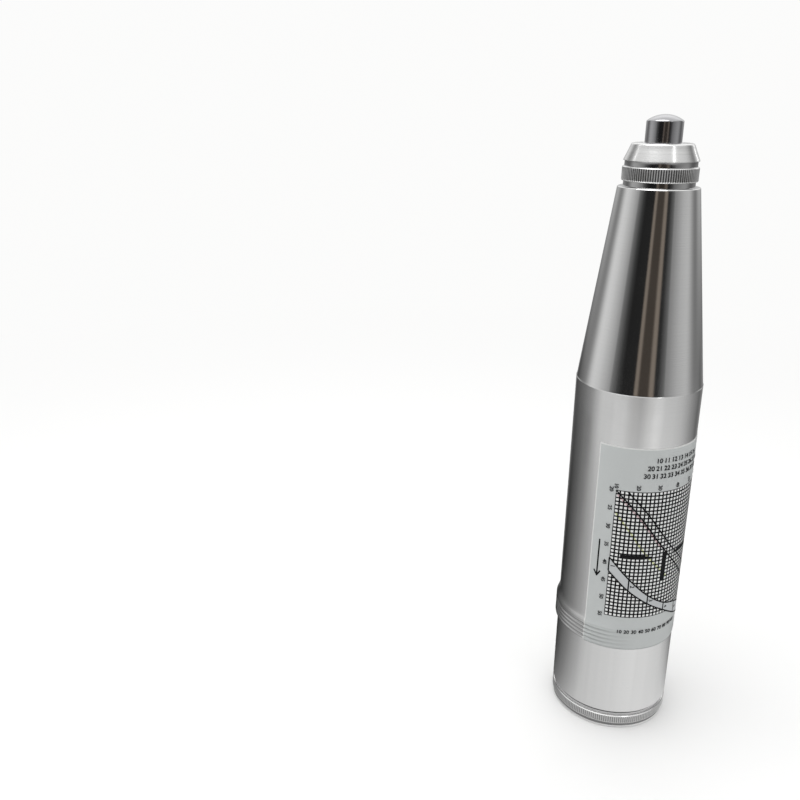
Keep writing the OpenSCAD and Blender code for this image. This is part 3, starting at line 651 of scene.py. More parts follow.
# %% Curves and bars of the chart
THIN, BOLD = 0.62, 1.9
BAR_Z = 91.7
strokes = []
for name, points, width in (
    ("chart_curves", [(-9.6, 123.1), (11.4, 112.9), (39, 96), (66.7, 81.6), (86, 73)], THIN),
    ("curve", [(0.9, 123.1), (20.6, 112.9), (37.7, 102.3), (54.8, 92.9), (86, 79.5)], THIN),
    ("bar", [(-0.4, BAR_Z), (11, BAR_Z), (22.5, BAR_Z)], BOLD),
    ("bar_end", [(22, BAR_Z), (26, BAR_Z)], BOLD * 0.7),
    ("bar_tip", [(25.5, BAR_Z), (29, BAR_Z)], BOLD * 0.4),
    ("upright", [(43.2, 93), (43, 86)], BOLD * 0.75),
    ("upright_foot", [(43, 86.5), (42.8, 78.7)], BOLD),
    ("bar_tip", [(54.5, BAR_Z), (60, BAR_Z)], BOLD * 0.4),
    ("bar", [(59, BAR_Z), (70, BAR_Z), (81, BAR_Z)], BOLD),
):
    strokes.append(pen(name, points, width))
green = pen("chart_green", [(-8.5, 112.5), (6, 104), (23, 93), (48, 80.5)], 0.8)
red = pen("chart_red", [(-8, 121), (10, 112.4), (24, 104.2), (38, 95.4)], 0.7)
green_line, red_line = (print_on_label([line], LIFT["tints"]) for line in (green, red))

# %% [markdown]
# A white band with black borders crosses the foot of the chart. Its two edges are drawn as chains
# in one mesh and bridged, which fills the space between them however much the width changes.

# %% Band across the chart
upper_edge = [(-9.8, 90.4), (10, 80.4), (28.5, 72.5), (48, 66.8), (68, 63.6), (88.2, 59.5)]
lower_edge = [(-9.8, 83.8), (10, 74.8), (30, 67.9), (50, 62.5), (70, 57.3), (88.2, 53.6)]


def even_points(points, count):
    """The same curve as (azimuth, height) points at even steps of azimuth."""
    path = [(math.degrees(p.x / (BARREL_R + LABEL_T)), p.y) for p in smooth_path(points)]
    even = []
    for i in range(count + 1):
        azimuth = path[0][0] + (path[-1][0] - path[0][0]) * i / count
        for (a0, z0), (a1, z1) in zip(path, path[1:]):
            if a0 - 1e-9 <= azimuth <= a1 + 1e-9:
                even.append((azimuth, z0 + (z1 - z0) * (azimuth - a0) / (a1 - a0)))
                break
    return even


upper, lower = even_points(upper_edge, 40), even_points(lower_edge, 40)
edges = (("chart_band", upper), ("band_edge", lower))
band = join([draw_chain(name, [(flat_x(a), z, 0) for a, z in edge]) for name, edge in edges])
edit(band)
bpy.ops.mesh.bridge_edge_loops()
let_go()
band = print_on_label([face_up(band)], LIFT["band"])
BAND_STEP = 8
strokes += [pen("band_border", upper, THIN), pen("band_border", lower, THIN)]
for low_point, high_point in zip(lower[::BAND_STEP], upper[::BAND_STEP]):
    strokes.append(pen("band_tick", [low_point, high_point], THIN))
curves = print_on_label(strokes, LIFT["curves"])

# %% [markdown]
# Plain numbers stand along the top and the left side of the chart, turned so that they are read
# from the side. Text is made a mesh before it is placed, because a text object can't be wrapped.
# More rows of plain numbers stand on the film above and below the chart, and an arrow shows which
# way the left side counts.

# %% Numbers round the chart
DOWNWARDS, UPRIGHT = -math.pi / 2, 0
NUMBER_WEIGHT = 0.02


def number(value, azimuth, height, size, turn=DOWNWARDS):
    """A plain number, drawn flat."""
    let_go()
    bpy.ops.object.text_add(location=(flat_x(azimuth) * MM, height * MM, 0), rotation=(0, 0, turn))
    text = bpy.context.object
    text.data.body = str(value)
    text.data.size = size * MM
    text.data.offset = NUMBER_WEIGHT * size * MM
    text.data.align_x, text.data.align_y = "CENTER", "CENTER"
    bpy.ops.object.convert(target="MESH")
    piece = fresh("number")
    apply_place()
    return face_up(piece)


NUMBER_SIZE, ABOVE, ASIDE = 2.4, 1.9, 4.2
unit = (CHART_RIGHT - CHART_LEFT) / CHART_COLUMNS * 5
row_step = (CHART_HIGH - CHART_LOW) / 7
digits = []
for i in range(6):
    digits.append(number(10 + 10 * i, CHART_LEFT + unit * i, CHART_HIGH + ABOVE, NUMBER_SIZE))
for i in range(8):
    digits.append(number(20 + 5 * i, CHART_LEFT - ASIDE, CHART_HIGH - row_step * i, NUMBER_SIZE))
for i, ((azimuth, low), (_, high)) in enumerate(zip(lower[:-1:BAND_STEP], upper[::BAND_STEP])):
    digits.append(number(i + 1, azimuth + 3.4, (low + high) / 2 - 0.7, 2.6))
print("numbers on the chart:", len(digits))

# %% Rows of numbers and the arrow
# First azimuth, count and height of each row above the chart
HEAD_ROWS = ((26, 7, 137.6), (19, 9, 134.1), (16, 9, 130.5))
HEAD_STEP, HEAD_SIZE = 7.6, 3.0
FOOT_FIRST, FOOT_STEP, FOOT_Z, FOOT_SIZE = 5.5, 7, 53.4, 2.5
ARROW_W = 0.7

for row, (first, count, height) in enumerate(HEAD_ROWS):
    for i in range(count):
        digits.append(number(10 * row + 10 + i, first + HEAD_STEP * i, height, HEAD_SIZE, UPRIGHT))
for i in range(10):
    digits.append(number(10 * i + 10, FOOT_FIRST + FOOT_STEP * i, FOOT_Z, FOOT_SIZE, UPRIGHT))
digits[0].name = digits[0].data.name = "chart_numbers"
numbers = print_on_label(digits, LIFT["numbers"])

arrows = [pen("chart_arrows", [(-20.5, 98), (-20.5, 80)], ARROW_W)]
for barb, tip in ((-23.6, -20.2), (-17.4, -20.8)):
    arrows.append(pen("arrow", [(barb, 82.4), (tip, 79.6)], ARROW_W))
arrows = print_on_label(arrows, LIFT["arrows"])

# %% [markdown]
# Behind the clear window lies the scale. It is a thin white plate with a slot for the pointer, and
# the marks run along both sides of the slot. One mark is modelled for each length and copied.

# %% Scale plate
PLATE_IN, PLATE_OUT, PLATE_W, PLATE_LOW, PLATE_HIGH = 23.88, 24.62, 12.36, 44.42, 138.38
scale_plate = block("scale_card", SCALE_TURN, PLATE_IN, PLATE_OUT, PLATE_W, PLATE_LOW, PLATE_HIGH)
SCREW_HEIGHTS, SCREW_HOLE_R = (47.9, 134.9), 1.03
soften(scale_plate, 0.15)
mill(scale_plate, block("slot_cutter", SCALE_TURN, 23, 26, SLOT_W, SLOT_LOW, SLOT_HIGH))
for height in SCREW_HEIGHTS:
    mill(scale_plate, peg("screw_cutter", SCALE_TURN, height, 23, 26, SCREW_HOLE_R))
shade(scale_plate)
print("scale plate faces:", len(scale_plate.data.polygons))

# %% Scale marks and numbers
SCALE_ZERO, SCALE_STEP, SCALE_MARKS = 128.9, 1.5, 51
MARK_IN, MARK_T, MARK_W, MARK_GAP = 24.63, 0.02, 0.18, 1.9
FIGURE_SIZE, FIGURE_ASIDE = 1.7, -4.7
round_to_scale = Matrix.Rotation(SCALE_TURN, 4, "Z")


def copy_to(piece, matrix):
    """A copy with its own mesh, moved within that mesh."""
    hold(piece)
    bpy.ops.object.duplicate()
    twin = bpy.context.object
    twin.matrix_world = matrix @ twin.matrix_world
    apply_place()
    return twin


def scale_mark(length):
    """One mark at the height of zero, on the right of the slot."""
    low, high = SCALE_ZERO - MARK_W / 2, SCALE_ZERO + MARK_W / 2
    mark = block("scale_mark", SCALE_TURN, MARK_IN, MARK_IN + MARK_T, length, low, high)
    aside = Matrix.Translation((0, (MARK_GAP + length / 2) * MM, 0))
    mark.matrix_world = round_to_scale @ aside @ round_to_scale.inverted()
    apply_place()
    return mark


long_mark, short_mark = scale_mark(1.7), scale_mark(0.9)
mirrored = round_to_scale @ Matrix.Diagonal((1, -1, 1, 1)) @ round_to_scale.inverted()
marks = []
for i in range(SCALE_MARKS):
    down = Matrix.Translation((0, 0, -SCALE_STEP * i * MM))
    for flip in (Matrix.Identity(4), mirrored):
        marks.append(copy_to(long_mark if i % 5 == 0 else short_mark, flip @ down))
for spare in (long_mark, short_mark):
    bpy.data.objects.remove(spare)
marks[0].name = marks[0].data.name = "scale_marks"
marks = join(marks)
edit(marks)
turn_faces_out()
let_go()
figures = []
stand = Matrix(((0, 0, 1, 0), (1, 0, 0, 0), (0, 1, 0, 0), (0, 0, 0, 1)))
for i in range(0, 11, 2):
    figure = number(10 * i, 0, 0, FIGURE_SIZE)
    place = Vector((MARK_IN, FIGURE_ASIDE, SCALE_ZERO - SCALE_STEP * 5 * i))
    figure.matrix_world = round_to_scale @ Matrix.Translation(place * MM) @ stand
    apply_place()
    figures.append(figure)
figures[0].name = figures[0].data.name = "scale_numbers"
figures = join(figures)
thicken(figures, MARK_T)
print("scale marks and numbers, faces:", len(marks.data.polygons), len(figures.data.polygons))

# %% [markdown]
# Finishes come next. Three effects serve several materials, so each is a node group with named
# inputs. Turning marks are fine rings that a lathe leaves: their pattern runs along the axis on
# a cylinder and along the radius on a flat face, so the two are added. Smudges are the soft
# clouds that hands leave on metal, and grain is a fine speckle.

# %% Node helpers


def node(tree, kind, **settings):
    """Adds a shader node and sets its properties."""
    made = tree.nodes.new("ShaderNode" + kind)
    for key, value in settings.items():
        setattr(made, key, value)
    return made


def wire(tree, source, target):
    """Links one socket to another, in place of what was there."""
    tree.links.new(source, target)


def new_group(name, inputs, outputs):
    """An empty node group with named number sockets."""
    tree = bpy.data.node_groups.new(name, "ShaderNodeTree")
    for title, default in inputs:
        socket = tree.interface.new_socket(title, in_out="INPUT", socket_type="NodeSocketFloat")
        socket.default_value = default
    for title in outputs:
        tree.interface.new_socket(title, in_out="OUTPUT", socket_type="NodeSocketFloat")
    return tree, tree.nodes.new("NodeGroupInput"), tree.nodes.new("NodeGroupOutput")


def maths(tree, operation, first, second=None):
    """A math node between two values, each a socket or a number."""
    made = node(tree, "Math", operation=operation)
    for socket, value in zip(made.inputs, (first, second)):
        if value is None:
            continue
        if isinstance(value, (int, float)):
            socket.default_value = value
        else:
            wire(tree, value, socket)
    return made.outputs[0]


def coordinates(tree, kind="Object"):
    """The three parts of a place on the surface, as sockets."""
    split = node(tree, "SeparateXYZ")
    wire(tree, node(tree, "TexCoord").outputs[kind], split.inputs[0])
    return tuple(split.outputs)


def off_axis(tree, place):
    """Distance of a place from the barrel's axis."""
    squares = [maths(tree, "POWER", part, 2) for part in place[:2]]
    return maths(tree, "SQRT", maths(tree, "ADD", *squares))


# %% Turning marks group
FACE_SHARE, BROAD_SHARE = 1.37, 0.13

marks_group, group_in, group_out = new_group("turning_marks", [("Lines per mm", 4.0)],
                                             ["Height", "Streak"])
place = coordinates(marks_group)
along_face = maths(marks_group, "MULTIPLY", off_axis(marks_group, place), FACE_SHARE)
way = maths(marks_group, "MULTIPLY", maths(marks_group, "ADD", place[2], along_face), 1 / MM)
fine = maths(marks_group, "MULTIPLY", way, group_in.outputs[0])
rings = node(marks_group, "TexNoise", noise_dimensions="1D")
rings.inputs["Detail"].default_value = 3
wire(marks_group, fine, rings.inputs["W"])
broad = node(marks_group, "TexNoise", noise_dimensions="1D")
wire(marks_group, maths(marks_group, "MULTIPLY", fine, BROAD_SHARE), broad.inputs["W"])
wire(marks_group, rings.outputs["Fac"], group_out.inputs["Height"])
streak = maths(marks_group, "MULTIPLY", broad.outputs["Fac"], rings.outputs["Fac"])
wire(marks_group, streak, group_out.inputs["Streak"])
print("group:", marks_group.name)

# %% Smudge and grain groups


def cloud_group(name, size_name, size, output_name, detail):
    """A group that holds one cloudy pattern, with its size as the input."""
    tree, group_in, group_out = new_group(name, [(size_name, size)], [output_name])
    cloud = node(tree, "TexNoise")
    cloud.inputs["Detail"].default_value = detail
    wire(tree, node(tree, "TexCoord").outputs["Object"], cloud.inputs["Vector"])
    wire(tree, group_in.outputs[0], cloud.inputs["Scale"])
    wire(tree, cloud.outputs["Fac"], group_out.inputs[output_name])
    return tree


smudge_group = cloud_group("handling_smudges", "Size per m", 60.0, "Smudge", 4)
grain_group = cloud_group("fine_grain", "Grains per m", 4000.0, "Grain", 2)
print("groups:", smudge_group.name, grain_group.name)

# %% [markdown]
# A metal is mostly its reflections, so its material varies the roughness more than the colour.
# One helper makes every metal of the hammer: a colour that a smudge darkens slightly, a roughness
# between two limits, and a bump of turning marks. The tangent runs round the axis, because the
# marks stretch each highlight along the barrel.

# %% Metal helper


def inside(material):
    """The node tree of a material and its Principled shader."""
    return material.node_tree, material.node_tree.nodes["Principled BSDF"]


def empty_material(name):
    """A new material, with its tree and its shader."""
    material = bpy.data.materials.new(name)
    material.use_nodes = True
    return material, *inside(material)


def placed(tree, group, value):
    """A group node with its one input set."""
    made = tree.nodes.new("ShaderNodeGroup")
    made.node_tree = group
    made.inputs[0].default_value = value
    return made


def spread(tree, value, low, high, from_low=0.3, from_high=0.7):
    """Maps a value that changes over the surface to a range."""
    made = node(tree, "MapRange")
    wire(tree, value, made.inputs["Value"])
    limits = {"From Min": from_low, "From Max": from_high, "To Min": low, "To Max": high}
    for key, limit in limits.items():
        made.inputs[key].default_value = limit
    return made.outputs[0]


def two_colours(tree, factor, first, second):
    """Mixes two colours by a value that changes over the surface."""
    made = node(tree, "Mix", data_type="RGBA")
    wire(tree, factor, made.inputs["Factor"])
    for socket, colour in ((made.inputs[6], first), (made.inputs[7], second)):
        if isinstance(colour, tuple):
            socket.default_value = (*colour, 1)
        else:
            wire(tree, colour, socket)
    return made.outputs[2]


def add_bump(tree, shader, height, depth):
    """A fine relief, with its depth in millimetres."""
    bump = node(tree, "Bump")
    bump.inputs["Distance"].default_value = depth * MM
    wire(tree, height, bump.inputs["Height"])
    wire(tree, bump.outputs[0], shader.inputs["Normal"])


def fed_by(shader, title):
    """The socket that feeds an input of a shader so far."""
    return shader.inputs[title].links[0].from_socket


def metal(name, light, dark, rough, lines, depth=0.002, brushed=0.0):
    """A turned metal: two tones, a range of roughness, lines per mm and the marks' depth in mm."""
    material, tree, shader = empty_material(name)
    turned = placed(tree, marks_group, lines)
    smudge = placed(tree, smudge_group, 60.0)
    tone = maths(tree, "MULTIPLY", turned.outputs["Streak"], maths(tree, "ADD", smudge.outputs[0], 0.9))
    lightness = spread(tree, tone, 0, 1, 0.15, 0.55)
    wire(tree, two_colours(tree, lightness, dark, light), shader.inputs["Base Color"])
    wire(tree, spread(tree, smudge.outputs[0], *rough), shader.inputs["Roughness"])
    add_bump(tree, shader, turned.outputs["Height"], depth)
    shader.inputs["Metallic"].default_value = 1
    if brushed:
        shader.inputs["Anisotropic"].default_value = brushed
        shader.inputs["Anisotropic Rotation"].default_value = 0.25
        around = node(tree, "Tangent", direction_type="RADIAL", axis="Z")
        wire(tree, around.outputs[0], shader.inputs["Tangent"])
    return material


finish = {}
finish["dark_steel"] = metal("dark_polished_steel", (0.46, 0.46, 0.47), (0.39, 0.39, 0.4), (0.08, 0.16),
                             6.0, depth=0.001)
finish["bright_steel"] = metal("bright_steel", (0.66, 0.66, 0.67), (0.55, 0.55, 0.57), (0.16, 0.3), 5.0)
finish["spring_steel"] = metal("spring_wire", (0.42, 0.42, 0.44), (0.3, 0.3, 0.32), (0.25, 0.4), 3.0)
finish["leaf_brass"] = metal("rolled_brass", (0.78, 0.58, 0.27), (0.66, 0.46, 0.2), (0.18, 0.32), 5.0)
print("metals:", sorted(finish))

# %% [markdown]
# The barrel's aluminium has two finishes. The cone is polished like a mirror, and the straight
# barrel below the shoulder is satin, so the roughness changes with the height. The barrel's own
# attribute paints shade into the grooves of the grip band, the neck and the foot. Polishing along
# the barrel leaves faint upright streaks: a cloud that only knows the direction from the axis.

# %% Polished aluminium
MIRROR_SHARE = 0.45
GROOVE_SHADE_GREY, STREAK_GREY = (0.1, 0.1, 0.1), (0.55, 0.55, 0.55)


def groove_mask(tree):
    """How much painted shade a place gets, from the piece's own attribute."""
    return node(tree, "Attribute", attribute_name="painted_groove_shade").outputs["Fac"]


barrel_metal = metal("polished_aluminium", (0.83, 0.83, 0.825), (0.76, 0.76, 0.755), (0.16, 0.24), 5.0,
                     depth=0.0015, brushed=0.5)
tree, shader = inside(barrel_metal)
on_cone = spread(tree, coordinates(tree)[2], 0, 1, (SHOULDER_Z - 0.2) * MM, (SHOULDER_Z + 0.2) * MM)
calmed = spread(tree, on_cone, 1, MIRROR_SHARE, 0, 1)
wire(tree, maths(tree, "MULTIPLY", fed_by(shader, "Roughness"), calmed), shader.inputs["Roughness"])
# Painted shade: the grooves, the neck and the foot darken towards this grey.
groove_shade_tone = two_colours(tree, groove_mask(tree), fed_by(shader, "Base Color"), GROOVE_SHADE_GREY)
# A huge scale along Z leaves only the direction from the axis
round_about = node(tree, "Mapping", vector_type="NORMAL")
round_about.inputs["Scale"].default_value = (1, 1, 1e6)
wire(tree, node(tree, "TexCoord").outputs["Object"], round_about.inputs["Vector"])
polish = node(tree, "TexNoise")
polish.inputs["Scale"].default_value = 8
polish.inputs["Detail"].default_value = 3
wire(tree, round_about.outputs[0], polish.inputs["Vector"])
faint = spread(tree, polish.outputs["Fac"], 0, 0.12, 0.35, 0.7)
wire(tree, two_colours(tree, faint, groove_shade_tone, STREAK_GREY), shader.inputs["Base Color"])
finish["polished_aluminium"] = barrel_metal
print("barrel's metal:", barrel_metal.name)

# %% [markdown]
# On the caps the hollows are painted darker: painted shade and some dirt between the teeth of the
# knurls, and painted shade in the recess of the front cap and in the undercut, flank and seam of the
# rear cap. How far a point lies from the axis tells whether it is on a crest or in a hollow. The
# teeth are also duller than the rest, and the recess is polished, so it mirrors what stands round it.

# %% Knurled aluminium
CAP_TONES = (0.84, 0.84, 0.835), (0.74, 0.74, 0.735), (0.14, 0.26), 5.0
DULL, POLISHED = 0.3, -0.1


def knurled(name, shaded_hollows):
    """Aluminium with painted shade in hollows: two heights, two radii, a tone and a change of roughness.
    """
    material = metal(name, *CAP_TONES, depth=0.0015, brushed=0.3)
    tree, shader = inside(material)
    place = coordinates(tree)
    reach = off_axis(tree, place)
    for low, high, dark_r, light_r, grey, change in shaded_hollows:
        shade_amount = spread(tree, reach, 1, 0, dark_r * MM, light_r * MM)
        within = maths(tree, "MULTIPLY", maths(tree, "GREATER_THAN", place[2], low * MM),
                       maths(tree, "LESS_THAN", place[2], high * MM))
        shaded = maths(tree, "MULTIPLY", shade_amount, within)
        wire(tree, two_colours(tree, shaded, fed_by(shader, "Base Color"), (grey, grey, grey)),
             shader.inputs["Base Color"])
        added = maths(tree, "MULTIPLY", within, change)
        wire(tree, maths(tree, "ADD", fed_by(shader, "Roughness"), added), shader.inputs["Roughness"])
    return material


# Painted shade and some dirt between the teeth, and painted shade in the recess above them.
front_metal = knurled("front_cap_aluminium", [(250.6, 255.55, 14.95, 15.2, 0.14, DULL),
                                              (256.05, 258.18, 14.45, 14.8, 0.42, POLISHED)])
# Painted shade and some dirt between the teeth; painted shade in the undercut, the flank and the seam.
rear_metal = knurled("rear_cap_aluminium", [(2.8, 6.3, 26.7, 27.02, 0.24, DULL),
                                            (1.1, 2.4, 26.3, 26.6, 0.28, DULL),
                                            (6.75, 7.85, 26.05, 26.4, 0.75, DULL),
                                            (7.85, 8.95, 26.05, 26.5, 0.06, DULL)])
finish["knurled_aluminium"] = metal("cap_aluminium", *CAP_TONES)
print("aluminium finishes:", front_metal.name, rear_metal.name)

# %% [markdown]
# What isn't metal is simpler: a film with a faint grain and a pale cut edge, ink that is a little
# uneven, felt with fibres, a moulded rider and a clear window with a few wipe marks.

# %% Film, enamel, felt and black


def coated(name, light, dark, rough, grains, depth):
    """A surface of two tones with a speckle and a fine bump, for everything that isn't metal."""
    material, tree, shader = empty_material(name)
    grain = placed(tree, grain_group, grains)
    smudge = placed(tree, smudge_group, 40.0)
    tone = maths(tree, "MULTIPLY", maths(tree, "ADD", grain.outputs[0], smudge.outputs[0]), 0.5)
    wire(tree, two_colours(tree, spread(tree, tone, 0, 1), dark, light), shader.inputs["Base Color"])
    wire(tree, spread(tree, smudge.outputs[0], *rough), shader.inputs["Roughness"])
    add_bump(tree, shader, grain.outputs[0], depth)
    return material


film = coated("label_film", (0.56, 0.582, 0.578), (0.525, 0.547, 0.543), (0.32, 0.42), 2500.0, 0.002)
tree, shader = inside(film)
across, upwards = coordinates(tree, "UV")[:2]
from_middle = maths(tree, "ABSOLUTE", maths(tree, "SUBTRACT", across, 0.5))
rim = maths(tree, "MAXIMUM", spread(tree, from_middle, 0, 1, 0.491, 0.494),
            spread(tree, upwards, 0, 1, 0.9935, 0.9955))
edged = two_colours(tree, rim, fed_by(shader, "Base Color"), (0.72, 0.725, 0.715))
# Painted shade in the grooves between the ridges, and a painted shadow along the lower hem.
groove_shade_tone = two_colours(tree, groove_mask(tree), edged, (0.25, 0.262, 0.26))
wire(tree, groove_shade_tone, shader.inputs["Base Color"])
finish["label_film"] = film

finish["scale_face"] = coated("scale_enamel", (0.88, 0.88, 0.86), (0.83, 0.83, 0.81), (0.3, 0.45), 2000.0,
                              0.002)
finish["felt"] = coated("felt", (0.26, 0.28, 0.2), (0.14, 0.15, 0.1), (0.85, 0.95), 3000.0, 0.05)
finish["rider_black"] = coated("moulded_black", (0.035, 0.035, 0.037), (0.02, 0.02, 0.022), (0.4, 0.55),
                               2500.0, 0.004)
print("finishes so far:", len(finish))

# %% Inks and clear window
INK_SHEEN = 0.08
inks = {}
for name, light, dark in (("black", (0.012, 0.012, 0.013), (0.006, 0.006, 0.007)),
                          ("white", (0.86, 0.87, 0.86), (0.8, 0.81, 0.8)),
                          ("grey", (0.57, 0.588, 0.596), (0.535, 0.552, 0.56)),
                          ("green", (0.66, 0.69, 0.4), (0.6, 0.63, 0.36)),
                          ("red", (0.66, 0.5, 0.52), (0.6, 0.45, 0.47))):
    inks[name] = coated(name + "_ink", light, dark, (0.4, 0.55), 3500.0, 0.001)
    inside(inks[name])[1].inputs["Specular IOR Level"].default_value = INK_SHEEN

window_glass, tree, shader = empty_material("clear_window")
wiped = placed(tree, smudge_group, 150.0)
wire(tree, spread(tree, wiped.outputs[0], 0.01, 0.08), shader.inputs["Roughness"])
shader.inputs["Base Color"].default_value = (0.97, 0.98, 0.98, 1)
shader.inputs["Transmission Weight"].default_value = 1
shader.inputs["IOR"].default_value = 1.49
finish["clear_window"] = window_glass
print("finishes:", len(finish))

# %% [markdown]
# Two long springs inside the barrel change length by 75 mm when the plunger and the hammer mass
# move. A ring of wire is carried up a helix by the Screw modifier, which winds a spring the way
# a lathe does. Copies of the CAD springs would work too, but their turns have only eight corners.

# %% Wind the long springs
SPRING_STEPS = 24
WIRE_SIDES = 12


def wind_spring(name, cad_name, coil_r, wire_r, turns):
    """A coil of round wire, in millimetres, over the height of a CAD spring."""
    foot, top = (corner.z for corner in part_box(cad_name))
    let_go()
    bpy.ops.mesh.primitive_circle_add(
        vertices=WIRE_SIDES,
        radius=wire_r * MM,
        location=(coil_r * MM, 0, foot + wire_r * MM),
        rotation=(math.pi / 2, 0, 0),
    )
    piece = fresh(name)
    apply_place()
    rise = (top - foot - 2 * wire_r * MM) / turns
    modify(piece, "SCREW", iterations=turns, screw_offset=rise,
           steps=SPRING_STEPS, render_steps=SPRING_STEPS)
    edit(piece)
    bpy.ops.mesh.fill_holes(sides=WIRE_SIDES)
    turn_faces_out()
    shade(piece)
    print(name, "faces:", len(piece.data.polygons))
    return piece


push_spring = wind_spring("push_spring", "compression_spring", 12.3, 0.95, 9)
drive_spring = wind_spring("drive_spring", "impact_spring", 11.45, 1.1, 18)

# %% [markdown]
# Every new piece now gets its finish and moves with a CAD body, and the CAD nodes it stands for are
# hidden. The other CAD nodes keep their own meshes and get the finish of their slot.

# %% Materials and bodies


def dress(piece, material, body, slot_name, *stands_for):
    """One material, one body, a slot name that is not used, and the CAD nodes that the piece replaces."""
    piece.data.materials.clear()
    piece.data.materials.append(material)
    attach(piece, body)
    if stands_for:
        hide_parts(*stands_for)


dress(barrel, finish["polished_aluminium"], "housing", "polished_aluminium", "barrel_housing")
dress(rear_cap, rear_metal, "housing", "knurled_aluminium", "rear_cap")
dress(front_cap, front_metal, "housing", "knurled_aluminium", "front_cap")
dress(bush, finish["knurled_aluminium"], "housing", "knurled_aluminium", "button_bush")
dress(plunger, finish["dark_steel"], "plunger_assembly", "dark_steel", "impact_plunger")
dress(button, finish["bright_steel"], "button", "bright_steel", "push_button")
dress(label, finish["label_film"], "housing", "label_film", "chart_label")
for piece in (lines, curves, numbers, arrows):
    dress(piece, inks["black"], "housing", "label_film")
dress(cells, inks["white"], "housing", "label_film")
dress(band, inks["grey"], "housing", "label_film")
dress(green_line, inks["green"], "housing", "label_film")
dress(red_line, inks["red"], "housing", "label_film")
dress(scale_plate, finish["scale_face"], "housing", "scale_face", "scale_plate")
for piece in (marks, figures):
    dress(piece, inks["black"], "housing", "scale_face")


def stretch(spring, cad_name):
    """Gives a spring its steel, moves its place into its mesh and hides the CAD spring it replaces."""
    spring.data.materials.append(finish["spring_steel"])
    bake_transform(spring)
    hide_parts(cad_name)


stretch(push_spring, "compression_spring")
stretch(drive_spring, "impact_spring")

slot_of = {row["node"]: row["material_slot"] for row in frame["record"]["subparts"]}
for name, cad_node in cad_nodes.items():
    if not cad_node.hide_render:
        cad_node.data.materials.clear()
        cad_node.data.materials.append(finish[slot_of[name]])
cad_nodes["scale_window"].visible_shadow = False
print("CAD nodes that still show:", sum(1 for o in cad_nodes.values() if not o.hide_render))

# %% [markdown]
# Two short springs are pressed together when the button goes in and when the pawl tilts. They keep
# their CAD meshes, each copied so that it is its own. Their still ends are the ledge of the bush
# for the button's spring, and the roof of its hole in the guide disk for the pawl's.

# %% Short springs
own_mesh(cad_nodes["button_spring"])
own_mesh(cad_nodes["pawl_spring"])

# %% [markdown]
# The studio is a pale floor under a soft dome. Polished metal shows only what stands round it, so
# a dark card stands in front, out of the camera's sight, with two narrow warm strips on it. The
# sides of the dome are bright, and the floor fades into the white behind it. In a reflection the
# floor is darker or lighter from side to side, which gives the barrel its long soft bands.

# %% Studio helpers
STUDIO_WHITE = (0.97, 0.97, 0.965)


def ramp_up(tree, value, low, high, top=1):
    """A smooth rise from nothing to a value between two limits."""
    made = node(tree, "MapRange", interpolation_type="SMOOTHSTEP")
    wire(tree, value, made.inputs["Value"])
    for key, limit in (("From Min", low), ("From Max", high), ("To Max", top)):
        made.inputs[key].default_value = limit
    return made.outputs[0]


def mix_shaders(tree, factor, first, second):
    """Two shaders, shared out by a factor."""
    made = node(tree, "MixShader")
    for socket, source in zip(made.inputs, (factor, first, second)):
        wire(tree, source, socket)
    return made.outputs[0]


def fade(tree, value, near, far, first, second):
    """One shader near the object and another one far from it."""
    return mix_shaders(tree, ramp_up(tree, value, near, far), first, second)


def brightness(tree, value, low, high, stops):
    """A colour ramp between two limits, from stops of a value and a grey or a colour."""
    ramp = node(tree, "ValToRGB")
    wire(tree, spread(tree, value, 0, 1, low, high), ramp.inputs["Fac"])
    while len(ramp.color_ramp.elements) < len(stops):
        ramp.color_ramp.elements.new(1)
    for element, (at, tone) in zip(ramp.color_ramp.elements, stops):
        element.position = (at - low) / (high - low)
        element.color = (*tone, 1) if isinstance(tone, tuple) else (tone, tone, tone, 1)
    return ramp.outputs[0]


def lit(tree, colour):
    """A surface that shines with a colour."""
    made = node(tree, "Emission")
    wire(tree, colour, made.inputs["Color"])
    return made.outputs[0]


# %% Floor
FLOOR_R, FLOOR_DROP = 6, 0.0002

let_go()
bpy.ops.mesh.primitive_circle_add(vertices=96, radius=FLOOR_R, fill_type="NGON",
                                  location=(0, 0, -FLOOR_DROP))
floor = bpy.context.object
floor.name = "studio_floor"
floor_paint, tree, shader = empty_material("pale_floor")
shader.inputs["Base Color"].default_value = (0.88, 0.88, 0.875, 1)
shader.inputs["Roughness"].default_value = 0.9
shader.inputs["Specular IOR Level"].default_value = 0.1
glow = node(tree, "Emission")
glow.inputs["Color"].default_value = (*STUDIO_WHITE, 1)
place = coordinates(tree)
away = off_axis(tree, place)
seen_floor = fade(tree, away, 0.15, 0.9, shader.outputs[0], glow.outputs[0])
turned_by = maths(tree, "ARCTAN2", place[0], maths(tree, "MULTIPLY", place[1], -1))
azimuth = maths(tree, "MULTIPLY", turned_by, 180 / math.pi)
# Painted reflection: in the metal the floor shines with these greys, lighter or darker by direction.
near_stops = [(-180, 0.5), (-160, 0.3), (-140, 0.01), (-112, 0.1), (-85, 0.24), (-62, 0.43),
              (-42, 0.64), (0, 0.75), (40, 0.82), (70, 0.78), (95, 0.69), (118, 0.44),
              (145, 0.12), (162, 0.3), (180, 0.5)]
far_stops = [(-180, 0.45), (-165, 0.3), (-150, 0.06), (-110, 0.15), (-85, 0.26), (-64, 0.74),
             (-20, 0.78), (-2, 0.53), (10, 0.48), (24, 0.67), (37, 0.88), (56, 0.65),
             (85, 0.54), (110, 0.31), (140, 0.13), (162, 0.3), (180, 0.45)]
near_glow = lit(tree, brightness(tree, azimuth, -180, 180, near_stops))
far_glow = lit(tree, brightness(tree, azimuth, -180, 180, far_stops))
mirrored_floor = fade(tree, away, 0.12, 0.55, near_glow, far_glow)
